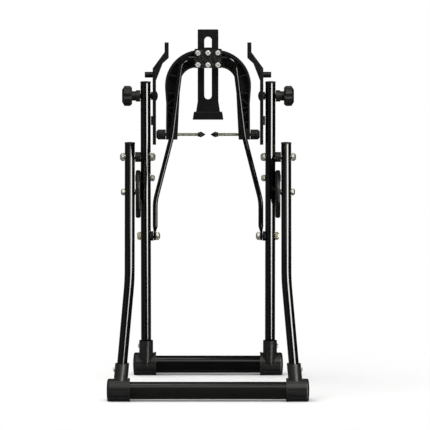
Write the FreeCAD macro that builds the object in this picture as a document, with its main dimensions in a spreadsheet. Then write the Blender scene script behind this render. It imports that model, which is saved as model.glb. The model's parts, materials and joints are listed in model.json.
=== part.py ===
import FreeCAD, Part
import math
import os

import Sketcher

# Folding bicycle wheel truing stand, in millimetres and degrees.
# +X is the user's right, +Y points away from the user and +Z is up. The stand rests on Z = 0 and X = 0 is
# its middle. It opens as an A: the rear frame carries the wheel and leans forward as it rises, the front
# frame carries the front bar and leans back, and the two cross at the fold pivot above Y = 0.
# Heights on each frame are measured along its own tubes from the fold pivot, and heights on the caliper arm
# from the arm's own pivot. The heads of the dropout plates stand level, so that an axle drops straight in, and
# their heights are measured from the clamp bolt.

SIZES = {
    # Stance
    "lean": 26.0,
    "leg_length": 311.0,
    "foot_drop": 13.0,
    "fold_travel": 46.0,
    # Clearances
    "running_gap": 0.05,
    "slide_gap": 0.3,
    "overrun": 1.0,
    # Tubes and bars
    "tube_radius": 6.35,
    "tube_wall": 1.2,
    "bar_radius": 11.0,
    "bar_wall": 1.5,
    "upright_offset": 78.5,
    "upright_reach": 110.4,
    "leg_offset": 98.5,
    "leg_reach": 17.8,
    "splay_angle": 4.7,
    "splay_drop": 164.0,
    "splay_bend_radius": 300.0,
    "cap_lip": 0.3,
    "cap_height": 1.4,
    "cap_plug_length": 8.0,
    # Corner connectors
    "connector_radius": 15.0,
    "connector_inboard": 12.6,
    "connector_outboard": 16.6,
    "connector_edge_radius": 2.8,
    "connector_crown": 0.8,
    "collar_radius": 15.7,
    "collar_width": 2.0,
    "socket_radius": 8.8,
    "socket_depth_radius": 14.4,
    "socket_height": 36.0,
    "socket_floor": 14.0,
    "bar_insert": 6.0,
    "set_screw_height": 28.0,
    "set_screw_radius": 1.5,
    "set_screw_head_radius": 2.7,
    "set_screw_head_height": 1.7,
    # Fold pivot
    "pivot_bolt_radius": 3.0,
    "pivot_nut_flats": 10.0,
    "pivot_nut_corner_radius": 5.75,
    "pivot_nut_tip_radius": 2.7,
    "pivot_nut_height": 6.1,
    "spacer_radius": 6.3,
    # Fold disc between upright and leg, with a curved slot round the fold pivot
    "disc_radius": 30.2,
    "disc_thickness": 6.3,
    "disc_drop": 46.9,
    "disc_edge_radius": 2.4,
    "disc_bolt_drop": 31.4,
    "disc_bolt_radius": 2.5,
    "disc_head_radius": 5.2,
    "disc_head_height": 2.0,
    "disc_head_recess": 1.4,
    "disc_nut_flats": 8.0,
    "disc_nut_corner_radius": 4.6,
    "disc_nut_height": 5.2,
    "guide_reach": 46.8,
    "guide_bolt_radius": 2.5,
    "guide_washer_radius": 3.8,
    "guide_head_height": 4.8,
    # Caliper arm pivot
    "arm_drop": 118.0,
    "arm_bolt_radius": 3.0,
    "arm_head_height": 5.0,
    "arm_washer_radius": 6.0,
    "arm_tab_x": 67.2,
    "arm_tab_thickness": 3.0,
    "arm_tab_radius": 5.4,
    "arm_tab_height": 12.0,
    "locknut_height": 4.9,
    "locknut_collar_height": 1.6,
    # Arm rod
    "rod_radius": 3.15,
    "rod_low_bend_height": 44.0,
    "rod_low_lean": 14.3,
    "rod_middle_length": 85.0,
    "rod_high_lean": 7.1,
    "rod_top_height": 225.4,
    "rod_low_bend_radius": 60.0,
    "rod_middle_bend_radius": 90.0,
    "rod_corner_radius": 13.0,
    # Caliper arch
    "arch_over_rod": 9.3,
    "arch_flat": 8.8,
    "arch_outer_radius": 45.5,
    "arch_shoulder_angle": 4.0,
    "arch_waist": 52.8,
    "arch_waist_depth": 66.7,
    "arch_leg_outer": 53.2,
    "arch_height": 112.7,
    "arch_crown_depth": 21.3,
    "arch_inner_flat": 15.0,
    "arch_inner_radius": 20.0,
    "arch_inner_angle": 2.9,
    "arch_depth": 14.0,
    "arch_rim": 2.4,
    "arch_recess": 9.5,
    "arch_foot_height": 14.0,
    "arch_rib_thickness": 1.6,
    "arch_rib_setback": 1.2,
    "arch_diagonal_angle": 42.0,
    "arch_radial_angle": 20.0,
    "arch_radial_angle_step": 27.0,
    "arch_pad_half_width": 18.0,
    "arch_pad_rise": 1.3,
    # Clamp at the top of the arch
    "clamp_half_width": 17.3,
    "clamp_half_height": 11.6,
    "clamp_thickness": 5.0,
    "clamp_corner_radius": 1.5,
    "screw_spacing_x": 12.65,
    "screw_spacing_z": 15.2,
    "screw_radius": 1.9,
    "screw_head_radius": 3.15,
    "screw_head_height": 2.3,
    "short_screw_length": 17.0,
    "strip_thickness": 2.0,
    "strip_nut_flats": 7.0,
    "strip_nut_corner_radius": 4.0,
    "strip_nut_height": 3.0,
    # Slotted radial indicator
    "indicator_half_width": 13.1,
    "indicator_thickness": 3.0,
    "indicator_over_clamp": 34.9,
    "indicator_corner_radius": 1.5,
    "slot_half_width": 4.65,
    "slot_margin": 9.3,
    "slot_length": 79.4,
    "flare_depth": 91.3,
    "flare_half_width": 15.2,
    "foot_depth": 104.8,
    "foot_top_half_width": 17.9,
    "indicator_length": 114.4,
    "foot_half_width": 19.4,
    "foot_thickness": 7.0,
    # Screw feelers
    "feeler_over_arch_foot": 5.8,
    "feeler_rod_radius": 2.0,
    "feeler_knob_radius": 6.35,
    "feeler_knob_length": 11.8,
    "feeler_knob_chamfer": 2.3,
    "feeler_knob_bore": 8.0,
    "flute_count": 12,
    "flute_radius": 0.9,
    "tip_half_gap": 3.4,
    "tip_length": 9.2,
    "tip_radius": 3.7,
    "tip_shank_length": 3.6,
    "tip_shank_radius": 3.0,
    "tip_nose_radius": 0.5,
    "tip_bore": 5.0,
    # Dropout plates
    "dropout_inner": 65.4,
    "dropout_thickness": 4.2,
    "dropout_half_width": 11.0,
    "dropout_bottom": 20.2,
    "dropout_shoulder_depth": 18.0,
    "dropout_shoulder_rise": 9.0,
    "dropout_front_edge": 17.0,
    "dropout_rear_edge": 19.0,
    "dropout_fold_edge": 1.0,
    "rear_seat_depth": 9.0,
    "dropout_tip_rise": 32.7,
    "tip_wall_inner": 49.4,
    "tip_wall_thickness": 5.2,
    "tip_wall_outer_rise": 20.4,
    "tip_wall_inner_rise": 14.7,
    "gusset_knee": 57.0,
    "gusset_knee_rise": 7.8,
    "gusset_depth": 13.9,
    "rear_axle_radius": 5.1,
    "rear_seat_over_bolt": 24.0,
    "rear_seat_setforward": 7.5,
    "front_axle_radius": 4.6,
    "front_seat_depth": 9.5,
    "front_seat_setback": 10.0,
    "stop_pin_radius": 3.7,
    "stop_pin_length": 10.0,
    "stop_pin_depth": 7.5,
    "stop_pin_setback": 12.0,
    "rivet_radius": 2.0,
    "pad_height": 54.2,
    "pad_length": 9.5,
    "pad_width": 8.0,
    # Dropout clamp bolts and knobs
    "clamp_bolt_height": 90.9,
    "clamp_bolt_radius": 3.0,
    "clamp_head_radius": 6.5,
    "clamp_head_height": 2.5,
    "clamp_washer_radius": 5.0,
    "knob_neck_radius": 7.2,
    "knob_neck_length": 5.6,
    "knob_throat_radius": 6.0,
    "knob_setout": 10.6,
    "knob_radius": 12.7,
    "knob_length": 12.6,
    "knob_bevel": 2.4,
    "knob_face_bevel": 3.0,
    "knob_face_drop": 5.0,
    "knob_lobes": 6,
    "lobe_cut_radius": 4.6,
    "lobe_cut_reach": 15.6,
    "knob_bore_length": 17.0,
}

document = FreeCAD.newDocument("TruingStand")
sheet = document.addObject("Spreadsheet::Sheet", "Sizes")
for row, (word, amount) in enumerate(SIZES.items(), start=1):
    sheet.set(f"A{row}", word)
    sheet.set(f"B{row}", str(amount))
    sheet.setAlias(f"B{row}", word)
document.recompute()


class Size:
    """A length, angle or count: its present value, and the sheet formula that gives it."""

    def __init__(self, value, formula):
        self.value = value
        self.formula = formula

    def __add__(self, other):
        return Size(self.value + value_of(other), f"({self.formula} + {formula_of(other)})")

    def __sub__(self, other):
        return Size(self.value - value_of(other), f"({self.formula} - {formula_of(other)})")

    def __mul__(self, other):
        return Size(self.value * value_of(other), f"({self.formula} * {formula_of(other)})")

    def __truediv__(self, other):
        return Size(self.value / value_of(other), f"({self.formula} / {formula_of(other)})")

    def __neg__(self):
        return Size(-self.value, f"(0 - {self.formula})")


def value_of(size):
    return size.value if isinstance(size, Size) else float(size)


def formula_of(size):
    return size.formula if isinstance(size, Size) else f"({float(size)})"


def sine(angle):
    return Size(math.sin(math.radians(angle.value)), f"sin({angle.formula})")


def cosine(angle):
    return Size(math.cos(math.radians(angle.value)), f"cos({angle.formula})")


def tangent(angle):
    return Size(math.tan(math.radians(angle.value)), f"tan({angle.formula})")


def root(square):
    return Size(math.sqrt(square.value), f"sqrt({square.formula})")


class Sheet:
    """Reads a named size from the spreadsheet."""

    def __getattr__(self, word):
        return Size(float(SIZES[word]), f"Sizes.{word}")


S = Sheet()
ZERO = Size(0.0, "0")
LEFT = -1
RIGHT = 1
ABOVE = 1
BELOW = -1
SIDES = {"left": LEFT, "right": RIGHT}
AXES = {"X": "1; 0; 0", "Y": "0; 1; 0", "Z": "0; 0; 1"}


# Heights that follow from others: the arch and the indicator hang from the top of the rod, and the dropout
# plate is built round its rear seat

arch_top = S.rod_top_height + S.arch_over_rod
arch_waist_height = arch_top - S.arch_waist_depth
arch_bottom = arch_top - S.arch_height
arch_inner_top = arch_top - S.arch_crown_depth
clamp_middle = S.rod_top_height
indicator_top = clamp_middle + S.indicator_over_clamp
slot_top = indicator_top - S.slot_margin
slot_bottom = slot_top - S.slot_length
flare_top = indicator_top - S.flare_depth
foot_top = indicator_top - S.foot_depth
foot_bottom = indicator_top - S.indicator_length
feeler_height = arch_bottom + S.feeler_over_arch_foot
dropout_step = S.rear_seat_over_bolt + S.rear_seat_depth
dropout_shoulder = S.rear_seat_over_bolt - S.dropout_shoulder_depth
dropout_tip = dropout_step + S.dropout_tip_rise
tip_wall_outer_foot = dropout_step + S.tip_wall_outer_rise
tip_wall_inner_foot = dropout_step + S.tip_wall_inner_rise
gusset_knee_height = dropout_step + S.gusset_knee_rise
gusset_foot = dropout_step - S.gusset_depth
front_seat_height = dropout_tip - S.front_seat_depth
stop_pin_height = dropout_step - S.stop_pin_depth


# Placements, written as formulas so that every piece follows the sheet

def shift(across, back, up, axis="X", angle=ZERO):
    """A move, after a turn about one axis."""
    offset = "; ".join(formula_of(part) for part in (across, back, up))
    return f"placement(vector({offset}); rotation(vector({AXES[axis]}); {formula_of(angle)}))"


QUARTER = Size(90.0, "90")
pivot_height = S.foot_drop + S.leg_length * cosine(S.lean)
REAR = shift(ZERO, ZERO, pivot_height, "X", S.lean)
FRONT = shift(ZERO, ZERO, pivot_height, "X", -S.lean)
UPRIGHT_LEVEL = shift(ZERO, ZERO, pivot_height)
ARM = shift(ZERO, S.arm_drop * sine(S.lean), pivot_height - S.arm_drop * cosine(S.lean))
HEAD = shift(ZERO, -(S.clamp_bolt_height * sine(S.lean)), pivot_height + S.clamp_bolt_height * cosine(S.lean))


def place(piece, frame, local=None):
    piece.setExpression("Placement", f"{frame} * {local}" if local else frame)
    return piece


# Sketches

def new_body(name):
    return document.addObject("PartDesign::Body", name)


def origin_part(body, role):
    return next(feature for feature in body.Origin.OriginFeatures if feature.Role == role)


def new_sketch(body, plane, offset=ZERO):
    """A sketch on one of the body's own planes, moved along that plane's normal."""
    sketch = body.newObject("Sketcher::SketchObject", "Sketch")
    sketch.AttachmentSupport = [(origin_part(body, plane), "")]
    sketch.MapMode = "FlatFace"
    sketch.setExpression("AttachmentOffset", shift(ZERO, ZERO, offset))
    return sketch


def constrain(sketch, kind, places, size):
    number = sketch.addConstraint(Sketcher.Constraint(kind, *places, value_of(size)))
    sketch.setExpression(f"Constraints[{number}]", formula_of(size))


def vector(point):
    return FreeCAD.Vector(value_of(point[0]), value_of(point[1]), 0)


def arc_between(start, end, centre):
    """The shorter arc from start to end, always anticlockwise, and whether its ends were swapped for that."""
    first = math.atan2(start.y - centre.y, start.x - centre.x)
    last = math.atan2(end.y - centre.y, end.x - centre.x)
    backwards = (last - first) % math.tau > math.pi
    if backwards:
        first, last = last, first
    circle = Part.Circle(centre, FreeCAD.Vector(0, 0, 1), (start - centre).Length)
    return Part.ArcOfCircle(circle, first, last), backwards


def draw_chain(sketch, points, closed=True):
    """Lines and arcs through points (x, y), or (x, y, (centre x, centre y, radius)) before an arc."""
    count = len(points)
    first_edge = sketch.GeometryCount
    starts = []
    for index in range(count if closed else count - 1):
        here = points[index]
        there = points[(index + 1) % count]
        if len(here) == 3:
            edge, backwards = arc_between(vector(here), vector(there), vector(here[2]))
            sketch.addGeometry(edge, False)
            starts.append(2 if backwards else 1)
        else:
            sketch.addGeometry(Part.LineSegment(vector(here), vector(there)), False)
            starts.append(1)
    edges = len(starts)
    for index in range(edges if closed else edges - 1):
        after = (index + 1) % edges
        ends = (first_edge + index, 3 - starts[index], first_edge + after, starts[after])
        sketch.addConstraint(Sketcher.Constraint("Coincident", *ends))
    for index, point in enumerate(points):
        if index < edges:
            corner = (-1, 1, first_edge + index, starts[index])
        else:
            corner = (-1, 1, first_edge + edges - 1, 3 - starts[-1])
        constrain(sketch, "DistanceX", corner, point[0])
        constrain(sketch, "DistanceY", corner, point[1])
        if len(point) == 3:
            constrain(sketch, "Radius", (first_edge + index,), point[2][2])


def draw_circle(sketch, across, up, radius):
    edge = sketch.GeometryCount
    centre = vector((across, up))
    sketch.addGeometry(Part.Circle(centre, FreeCAD.Vector(0, 0, 1), value_of(radius)), False)
    constrain(sketch, "DistanceX", (-1, 1, edge, 3), across)
    constrain(sketch, "DistanceY", (-1, 1, edge, 3), up)
    constrain(sketch, "Radius", (edge,), radius)


def draw_ellipse(sketch, across, up, half_across, half_up):
    """An ellipse whose axes lie along the sketch's, set by its centre and the ends of both axes."""
    edge = sketch.GeometryCount
    centre = vector((across, up))
    wide = vector((across + half_across, up))
    tall = vector((across, up + half_up))
    if value_of(half_across) >= value_of(half_up):
        ellipse = Part.Ellipse(wide, tall, centre)
    else:
        ellipse = Part.Ellipse(tall, centre - (wide - centre), centre)
    sketch.addGeometry(ellipse, False)
    sketch.exposeInternalGeometry(edge)
    constrain(sketch, "DistanceX", (-1, 1, edge, 3), across)
    constrain(sketch, "DistanceY", (-1, 1, edge, 3), up)
    major = edge + 1
    minor = edge + 2
    if value_of(half_across) >= value_of(half_up):
        sketch.addConstraint(Sketcher.Constraint("Horizontal", major))
        constrain(sketch, "Distance", (major,), half_across * 2)
        constrain(sketch, "Distance", (minor,), half_up * 2)
    else:
        sketch.addConstraint(Sketcher.Constraint("Vertical", major))
        constrain(sketch, "Distance", (major,), half_up * 2)
        constrain(sketch, "Distance", (minor,), half_across * 2)


def hexagon(flats):
    """Corner points of a hexagon across its flats, a corner up."""
    corner = flats / cosine(Size(30.0, "30")) / 2
    angles = [Size(60.0 * step, f"{60 * step}") for step in range(6)]
    return [(corner * sine(angle), corner * cosine(angle)) for angle in angles]


def slot_points(across, low, high, half_width):
    """A slot with round ends along the sketch's upright axis."""
    low_end = (across, low, half_width)
    high_end = (across, high, half_width)
    return [
        (across - half_width, low),
        (across - half_width, high, high_end),
        (across, high + half_width, high_end),
        (across + half_width, high),
        (across + half_width, low, low_end),
        (across, low - half_width, low_end),
    ]


def rounded_rectangle(left, right, low, high, radius):
    return [
        (left, low + radius),
        (left, high - radius, (left + radius, high - radius, radius)),
        (left + radius, high),
        (right - radius, high, (right - radius, high - radius, radius)),
        (right, high - radius),
        (right, low + radius, (right - radius, low + radius, radius)),
        (right - radius, low),
        (left + radius, low, (left + radius, low + radius, radius)),
    ]


def both_sides(half):
    """A closed outline from the points of its left half, mirrored in X = 0."""
    mirror = []
    for index in range(len(half) - 1, -1, -1):
        point = (-half[index][0], half[index][1])
        before = half[index - 1] if index else ()
        if len(before) == 3:
            centre = before[2]
            point += ((-centre[0], centre[1], centre[2]),)
        mirror.append(point)
    return half + mirror


# Features

def finish_feature(body, feature):
    body.Tip = feature
    document.recompute()
    return feature


def pad(body, sketch, length):
    """Pads half the length to each side of the sketch."""
    feature = body.newObject("PartDesign::Pad", "Pad")
    feature.Profile = sketch
    feature.Midplane = True
    feature.setExpression("Length", formula_of(length))
    return finish_feature(body, feature)


def pocket(body, sketch, length):
    """Cuts half the length to each side of the sketch, and makes sure that something was cut."""
    before = body.Shape.Volume
    feature = body.newObject("PartDesign::Pocket", "Pocket")
    feature.Profile = sketch
    feature.Midplane = True
    feature.setExpression("Length", formula_of(length))
    finish_feature(body, feature)
    if body.Shape.Volume >= before:
        raise ValueError(f"a pocket of {body.Name} cuts nothing")
    return feature


def hole(body, plane, across, up, radius, middle, length):
    sketch = new_sketch(body, plane, middle)
    draw_circle(sketch, across, up, radius)
    return pocket(body, sketch, length)


def polar_pattern(body, feature, count):
    """Repeats a feature round the body's X axis."""
    pattern = body.newObject("PartDesign::PolarPattern", "PolarPattern")
    pattern.Originals = [feature]
    pattern.Axis = (origin_part(body, "X_Axis"), [""])
    pattern.Angle = math.degrees(math.tau)
    pattern.setExpression("Occurrences", formula_of(count))
    return finish_feature(body, pattern)


def turned(name, profile):
    """A body turned about its X axis from points (x, radius)."""
    body = new_body(name)
    sketch = new_sketch(body, "XY_Plane")
    draw_chain(sketch, profile)
    feature = body.newObject("PartDesign::Revolution", "Revolution")
    feature.Profile = sketch
    feature.ReferenceAxis = (origin_part(body, "X_Axis"), [""])
    finish_feature(body, feature)
    return body


def cut_hexagon(body, flats, outside, start, end):
    """Cuts flats on a turned body from start to end along X."""
    sketch = new_sketch(body, "YZ_Plane", (start + end) / 2)
    draw_circle(sketch, ZERO, ZERO, outside + S.overrun)
    draw_chain(sketch, hexagon(flats))
    length = end - start if value_of(end) > value_of(start) else start - end
    return pocket(body, sketch, length)


def blend(body, kind, lower, upper):
    """A loft between two sketches, additive or subtractive."""
    feature = body.newObject(f"PartDesign::{kind}Loft", f"{kind}Loft")
    feature.Profile = lower
    feature.Sections = [upper]
    return finish_feature(body, feature)


def pipe(body, section, path):
    feature = body.newObject("PartDesign::AdditivePipe", "Pipe")
    feature.Profile = section
    feature.Spine = path
    return finish_feature(body, feature)


pieces = {}


def keep(label, piece):
    """Names a finished piece, which is then written to its own file."""
    piece.Label = label
    pieces[label] = piece
    return piece


def keep_group(label, members):
    group = document.addObject("Part::Compound", label)
    group.Links = members
    return keep(label, group)


# Tubes, bars and their end caps

leg_foot_x = S.leg_offset + (S.leg_length - S.splay_drop) * tangent(S.splay_angle)
tube_bore = S.tube_radius - S.tube_wall
tube_foot = S.leg_length - S.socket_floor
tube_slant = S.tube_radius * tangent(S.lean)
upright_inner_x = S.upright_offset - S.tube_radius
upright_outer_x = S.upright_offset + S.tube_radius
leg_inner_x = S.leg_offset - S.tube_radius
leg_outer_x = S.leg_offset + S.tube_radius


def make_bar(name, socket_x, frame):
    half_length = socket_x + S.bar_insert
    body = new_body(name)
    sketch = new_sketch(body, "YZ_Plane")
    draw_circle(sketch, ZERO, ZERO, S.bar_radius)
    draw_circle(sketch, ZERO, ZERO, S.bar_radius - S.bar_wall)
    pad(body, sketch, half_length * 2)
    place(body, frame, shift(ZERO, ZERO, -S.leg_length))
    keep(name, body)


def level_cut(body, tilt, height, side, middle, width):
    """Cuts away what lies above or below a level plane, which crosses the body's own axis at the height."""
    reach = S.connector_radius * 2
    up = (sine(tilt) * side, cosine(tilt) * side)
    along = (cosine(tilt), -sine(tilt))
    corners = []
    for depth, across in ((ZERO, -reach), (ZERO, reach), (reach, reach), (reach, -reach)):
        corners.append((up[0] * depth + along[0] * across, height + up[1] * depth + along[1] * across))
    sketch = new_sketch(body, "YZ_Plane", middle)
    draw_chain(sketch, corners)
    pocket(body, sketch, width)


def make_upright(name, side):
    x = S.upright_offset * side
    body = new_body(name)
    top = S.upright_reach + tube_slant
    sketch = new_sketch(body, "XY_Plane", (top - tube_foot) / 2)
    draw_circle(sketch, x, ZERO, S.tube_radius)
    draw_circle(sketch, x, ZERO, tube_bore)
    pad(body, sketch, top + tube_foot)
    through = (S.tube_radius + S.overrun) * 2
    level_cut(body, S.lean, S.upright_reach, ABOVE, x, through)
    hole(body, "YZ_Plane", ZERO, S.clamp_bolt_height, S.clamp_bolt_radius + S.running_gap, x, through)
    hole(body, "YZ_Plane", ZERO, ZERO, S.pivot_bolt_radius, x, through)
    hole(body, "YZ_Plane", ZERO, -S.disc_bolt_drop, S.disc_bolt_radius, x, through)
    hole(body, "YZ_Plane", ZERO, -S.arm_drop, S.arm_bolt_radius, x, through)
    keep(name, place(body, REAR))


def make_leg(name, side):
    """Straight at the top, then one gentle bend outwards to its connector."""
    x = S.leg_offset * side
    tangent_length = S.splay_bend_radius * tangent(S.splay_angle / 2)
    bend_top = -S.splay_drop + tangent_length
    bend_foot_x = (S.leg_offset + tangent_length * sine(S.splay_angle)) * side
    bend_foot = -S.splay_drop - tangent_length * cosine(S.splay_angle)
    centre_x = (S.leg_offset + S.splay_bend_radius) * side
    end_x = (leg_foot_x - S.socket_floor * tangent(S.splay_angle)) * side
    top = S.leg_reach + tube_slant
    body = new_body(name)
    path = new_sketch(body, "XZ_Plane")
    points = [
        (x, top),
        (x, bend_top, (centre_x, bend_top, S.splay_bend_radius)),
        (bend_foot_x, bend_foot),
        (end_x, -tube_foot),
    ]
    draw_chain(path, points, closed=False)
    section = new_sketch(body, "XY_Plane", top)
    draw_circle(section, x, ZERO, S.tube_radius)
    draw_circle(section, x, ZERO, tube_bore)
    document.recompute()
    pipe(body, section, path)
    through = (S.tube_radius + S.overrun) * 2
    level_cut(body, -S.lean, S.leg_reach, ABOVE, x, through)
    hole(body, "YZ_Plane", ZERO, ZERO, S.pivot_bolt_radius + S.running_gap, x, through)
    hole(body, "YZ_Plane", ZERO, -S.guide_reach, S.guide_bolt_radius, x, through)
    keep(name, place(body, FRONT))


def make_cap(name, x, reach, tilt, frame):
    """A push-in plug with a thin lip over the tube's end, which is cut level."""
    lip = S.tube_radius + S.cap_lip
    top = reach + S.cap_height / cosine(tilt)
    across = (lip + S.overrun) * 2
    body = new_body(name)
    pad_round(body, reach - lip, top + lip, lip)
    level_cut(body, tilt, reach, BELOW, ZERO, across)
    pad_round(body, reach - S.cap_plug_length, top + lip, tube_bore)
    level_cut(body, tilt, top, ABOVE, ZERO, across)
    return place(body, frame, shift(x, ZERO, ZERO))


def pad_round(body, start, end, radius):
    """Adds a round bar along the body's upright axis."""
    sketch = new_sketch(body, "XY_Plane", (start + end) / 2)
    draw_circle(sketch, ZERO, ZERO, radius)
    pad(body, sketch, end - start)


# Moulded corner connectors

def make_connector(name, side, socket_x, tilt, splay, frame):
    """A round corner piece along the bar, with a flat foot and a socket that narrows to the tube. The foot and
    the socket's mouth are level when the stand is open."""
    inner = (socket_x - S.connector_inboard) * side
    outer = (socket_x + S.connector_outboard) * side
    crown = S.connector_crown
    crown_foot = outer - crown * side
    edge_x = crown_foot - S.connector_edge_radius * side
    edge_y = S.connector_radius - S.connector_edge_radius
    crown_radius = (edge_y * edge_y + crown * crown) / (crown * 2)
    collar_end = inner + S.collar_width * side
    profile = [
        (inner, ZERO),
        (inner, S.collar_radius),
        (collar_end, S.collar_radius),
        (collar_end, S.connector_radius),
        (edge_x, S.connector_radius, (edge_x, edge_y, S.connector_edge_radius)),
        (crown_foot, edge_y, (outer - crown_radius * side, ZERO, crown_radius)),
        (outer, ZERO),
    ]
    body = turned(name, profile)
    lower = new_sketch(body, "XY_Plane")
    draw_ellipse(lower, socket_x * side, ZERO, S.socket_radius, S.socket_depth_radius)
    rim = S.socket_height + S.socket_radius * tangent(S.lean)
    rim_x = socket_x - rim * tangent(splay)
    upper = new_sketch(body, "XY_Plane", rim)
    draw_circle(upper, rim_x * side, ZERO, S.socket_radius)
    document.recompute()
    blend(body, "Additive", lower, upper)
    floor = S.socket_floor - S.tube_radius * sine(splay)
    floor_x = socket_x - floor * tangent(splay)
    mouth = rim + S.overrun
    mouth_x = socket_x - mouth * tangent(splay)
    slanted = S.tube_radius / cosine(splay)
    bore_floor = new_sketch(body, "XY_Plane", floor)
    bore_mouth = new_sketch(body, "XY_Plane", mouth)
    for section, x in ((bore_floor, floor_x), (bore_mouth, mouth_x)):
        if splay.value:
            draw_ellipse(section, x * side, ZERO, slanted, S.tube_radius)
        else:
            draw_circle(section, x * side, ZERO, S.tube_radius)
    document.recompute()
    blend(body, "Subtractive", bore_floor, bore_mouth)
    bar_end = socket_x + S.bar_insert
    bar_start = socket_x - S.connector_inboard - S.overrun
    middle = (bar_end + bar_start) / 2 * side
    hole(body, "YZ_Plane", ZERO, ZERO, S.bar_radius, middle, bar_end - bar_start)
    screw_x = socket_x - S.set_screw_height * tangent(splay) + (S.socket_radius + S.tube_radius) / 2
    hole(body, "YZ_Plane", ZERO, S.set_screw_height, S.set_screw_radius, screw_x * side, S.tube_radius)
    across = (S.connector_inboard + S.connector_outboard) * 2
    level_cut(body, tilt, S.socket_height, ABOVE, (inner + outer) / 2, across)
    level_cut(body, tilt, -S.foot_drop / cosine(tilt), BELOW, (inner + outer) / 2, across)
    keep(name, place(body, frame, shift(ZERO, ZERO, -S.leg_length)))


def make_set_screw(name, side, socket_x, splay, frame):
    """A small pan head screw in the outer side of a socket, which holds the tube."""
    seat = S.socket_radius + S.set_screw_head_radius * tangent(splay)
    tip = S.tube_radius / cosine(splay) + S.set_screw_radius * tangent(splay)
    head_end = seat + S.set_screw_head_height
    profile = [
        (tip * side, ZERO),
        (tip * side, S.set_screw_radius),
        (seat * side, S.set_screw_radius),
        (seat * side, S.set_screw_head_radius),
        ((head_end - S.set_screw_radius / 3) * side, S.set_screw_head_radius),
        (head_end * side, S.set_screw_radius),
        (head_end * side, ZERO),
    ]
    body = turned(name, profile)
    x = socket_x - S.set_screw_height * tangent(splay)
    return place(body, frame, shift(x * side, ZERO, S.set_screw_height - S.leg_length))


# Bolts, nuts and washers along X. Distances run outwards from the middle of the stand

def ring(name, side, start, end, bore, radius):
    """A plain ring or washer from start to end."""
    profile = [(start * side, bore), (start * side, radius), (end * side, radius), (end * side, bore)]
    return turned(name, profile)


def domed_nut(name, side, seat, direction, flats, corner, tip, height, bore, depth):
    """A hexagon nut with a tapered closed end. direction is +1 where it points away from the middle."""
    step = direction * side
    waist = height / 6
    top = height / 2
    profile = [
        (seat * side + depth * step, ZERO),
        (seat * side + depth * step, bore),
        (seat * side, bore),
        (seat * side, corner - waist),
        (seat * side + waist * step, corner),
        (seat * side + top * step, corner),
        (seat * side + height * step, tip),
        (seat * side + height * step, ZERO),
    ]
    body = turned(name, profile)
    cut_hexagon(body, flats, corner, seat * side, seat * side + height * step)
    return body


def headed_bolt(name, side, seat, direction, flats, corner, tip, height, shank, length):
    """A bolt with the same tapered hexagon as a head. Its shank points the other way."""
    step = direction * side
    waist = height / 6
    top = height / 2
    profile = [
        (seat * side - length * step, ZERO),
        (seat * side - length * step, shank),
        (seat * side, shank),
        (seat * side, corner - waist),
        (seat * side + waist * step, corner),
        (seat * side + top * step, corner),
        (seat * side + height * step, tip),
        (seat * side + height * step, ZERO),
    ]
    body = turned(name, profile)
    cut_hexagon(body, flats, corner, seat * side, seat * side + height * step)
    return body


def make_pivot(word, side, groups):
    """The fold pivot: bolt from outside, spacer between the tubes and a nut inside."""
    nut_bore_depth = S.pivot_nut_height * 2 / 3
    head_seat = leg_outer_x + S.slide_gap
    length = head_seat - upright_inner_x + nut_bore_depth
    bolt = headed_bolt(
        f"{word}_pivot_bolt", side, head_seat, 1, S.pivot_nut_flats, S.pivot_nut_corner_radius,
        S.pivot_nut_tip_radius, S.pivot_nut_height - S.slide_gap, S.pivot_bolt_radius, length)
    keep(f"{word}_pivot_bolt", place(bolt, REAR))
    nut = domed_nut(
        f"{word}_pivot_nut", side, upright_inner_x, -1, S.pivot_nut_flats, S.pivot_nut_corner_radius,
        S.pivot_nut_tip_radius, S.pivot_nut_height, S.pivot_bolt_radius, nut_bore_depth)
    groups["pivot_nuts"].append(place(nut, REAR))
    spacer = ring(
        f"{word}_pivot_spacer", side, upright_outer_x, leg_inner_x - S.slide_gap,
        S.pivot_bolt_radius, S.spacer_radius)
    groups["pivot_spacers"].append(place(spacer, REAR))


# Fold disc, its bolt and the leg's guide bolt

disc_face_x = upright_outer_x + S.disc_thickness


def round_pivot(angle, radius):
    """A point at a radius from the fold pivot, its angle measured from straight down towards the rear."""
    return radius * sine(angle), S.disc_drop - radius * cosine(angle)


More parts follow.
